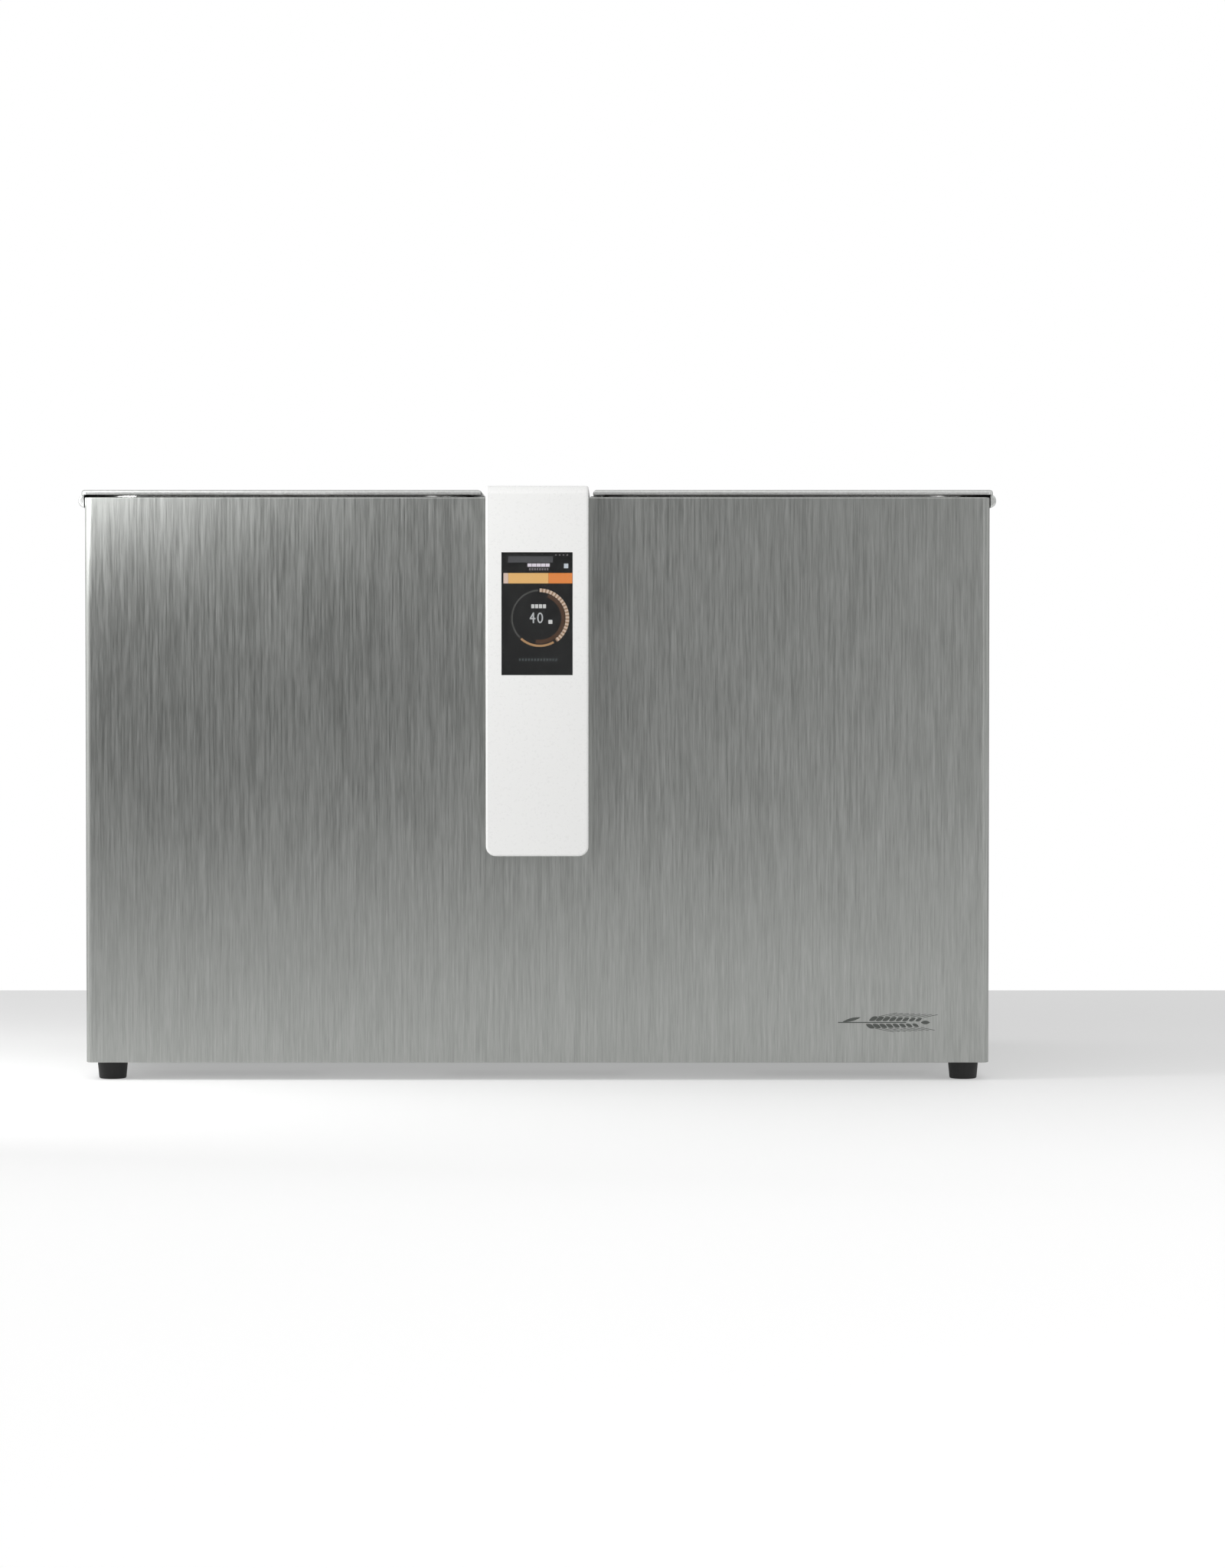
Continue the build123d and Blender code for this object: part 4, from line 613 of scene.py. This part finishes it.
# ------------------------------------------------------------------ studio
FLOOR_X, FLOOR_Y = (-3.0, 3.0), (-2.2, 0.672)
# The floor's run from FLOOR_LIGHT at the front to FLOOR_DARK at the back is painted shade, a falloff of
# light.
FLOOR_FADE_Y = (-1.0, 0.5)  # where the floor starts to darken, and where it is darkest
FLOOR_DARK, FLOOR_LIGHT = (0.46,) * 3, (0.86,) * 3
FLOOR_GLOW = 0.30  # emission, which keeps the contact shadow pale
# Each part of the sky: two limits on the direction's Z or X, then the strength at each.
SKY_ABOVE = (0.08, 0.36, 0.0, 1.0)
SKY_LEFT = (-0.94, -0.70, 2.0, 0.0)
SKY_RIGHT = (0.70, 0.94, 0.09, 1.1)
WHITE = (1.0, 1.0, 1.0, 1.0)
CAMERA_X = 0.0522
CAMERA_AT = Vector((CAMERA_X, -3.376, 0.300))
CAMERA_AIM = Vector((CAMERA_X, CASE_FRONT, 0.2064))
LENS, SENSOR = 105.85, 36.0  # focal length and sensor width in millimetres


def floor():
    """A pale floor with painted shade, so that it brightens towards the camera and darkens towards the
    back, with a soft contact shadow.
    """
    data = bpy.data.meshes.new("studio_floor")
    (left, right), (front, back) = FLOOR_X, FLOOR_Y
    corners = [(left, front, 0.0), (right, front, 0.0), (right, back, 0.0), (left, back, 0.0)]
    data.from_pydata(corners, [], [(0, 1, 2, 3)])
    plane = bpy.data.objects.new("studio_floor", data)
    bpy.context.scene.collection.objects.link(plane)
    material, tree, shader = new_material("studio_floor")
    place = tree.nodes.new("ShaderNodeNewGeometry")
    axes = tree.nodes.new("ShaderNodeSeparateXYZ")
    tree.links.new(place.outputs["Position"], axes.inputs[0])
    # painted shade: the floor's colour darkens towards the back
    tone = ramp(tree, axes.outputs["Y"], *FLOOR_FADE_Y, 1.0, 0.0)
    grain = noise(tree, (300.0,) * 3, detail=2.0)
    add_colour(tree, shader, tone, FLOOR_DARK, FLOOR_LIGHT)
    add_roughness(tree, shader, spread(tree, grain, 0.62, 0.70))
    shader.inputs["Specular IOR Level"].default_value = 0.1
    shader.inputs["Emission Color"].default_value = WHITE
    shader.inputs["Emission Strength"].default_value = FLOOR_GLOW
    data.materials.append(material)


def softbox(name, at, aim, size, watts):
    """An area light that the camera doesn't see."""
    light = bpy.data.lights.new(name, "AREA")
    light.shape = "RECTANGLE"
    light.size, light.size_y = size
    light.energy = watts
    lamp = bpy.data.objects.new(name, light)
    lamp.location = at
    lamp.rotation_mode = "QUATERNION"
    lamp.rotation_quaternion = (Vector(aim) - Vector(at)).to_track_quat("-Z", "Y")
    lamp.visible_camera = False
    bpy.context.scene.collection.objects.link(lamp)


def studio_lights():
    """A soft box to the right, a card close to the front's upper left and a weak strip above the front."""
    softbox("right_softbox", at=(1.3, -2.6, 0.40), aim=(0.0, -0.1, 0.2), size=(1.0, 0.7), watts=3.6)
    softbox("glow_card", at=(-0.64, -0.42, 0.51), aim=(-0.50, 0.0, 0.42), size=(0.40, 0.20), watts=4.3)
    softbox("glow_strip", at=(0.0, -0.42, 0.56), aim=(0.0, 0.0, 0.50), size=(1.20, 0.10), watts=0.25)


def studio_world():
    """White to the camera. To every other ray, bright overhead and far out to the sides, dim between."""
    world = bpy.data.worlds.new("studio")
    bpy.context.scene.world = world
    world.use_nodes = True
    tree = world.node_tree
    tree.nodes.clear()
    output = tree.nodes.new("ShaderNodeOutputWorld")
    sky = tree.nodes.new("ShaderNodeBackground")
    white = tree.nodes.new("ShaderNodeBackground")
    white.inputs["Strength"].default_value = 1.0
    white.inputs["Color"].default_value = WHITE
    mix = tree.nodes.new("ShaderNodeMixShader")
    rays = tree.nodes.new("ShaderNodeLightPath")
    place = tree.nodes.new("ShaderNodeTexCoord")
    axes = tree.nodes.new("ShaderNodeSeparateXYZ")
    tree.links.new(place.outputs["Generated"], axes.inputs[0])
    above = ramp(tree, axes.outputs["Z"], *SKY_ABOVE)
    left = ramp(tree, axes.outputs["X"], *SKY_LEFT)
    right = ramp(tree, axes.outputs["X"], *SKY_RIGHT)
    sides = combine(tree, "MAXIMUM", left, right)
    tree.links.new(combine(tree, "MAXIMUM", above, sides), sky.inputs["Strength"])
    tree.links.new(rays.outputs["Is Camera Ray"], mix.inputs["Fac"])
    tree.links.new(sky.outputs[0], mix.inputs[1])
    tree.links.new(white.outputs[0], mix.inputs[2])
    tree.links.new(mix.outputs[0], output.inputs["Surface"])
    bpy.context.scene.view_settings.view_transform = "Standard"


def camera():
    """A long lens ahead of the machine, higher than its middle and right of it, aimed slightly down."""
    data = bpy.data.cameras.new("camera")
    data.lens, data.sensor_width = LENS, SENSOR
    made = bpy.data.objects.new("camera", data)
    made.location = CAMERA_AT
    made.rotation_mode = "QUATERNION"
    made.rotation_quaternion = (CAMERA_AIM - CAMERA_AT).to_track_quat("-Z", "Y")
    bpy.context.scene.collection.objects.link(made)
    bpy.context.scene.camera = made


# ------------------------------------------------------------------ the whole scene
dress_cad_nodes()
screen_heading()
screen_bar()
screen_ring()
screen_readings()
barley_mark()
level_marks("mash_level_marks", MASH, 1)
level_marks("boil_level_marks", BOIL, -1)
switch_marks()
floor()
studio_lights()
studio_world()
camera()
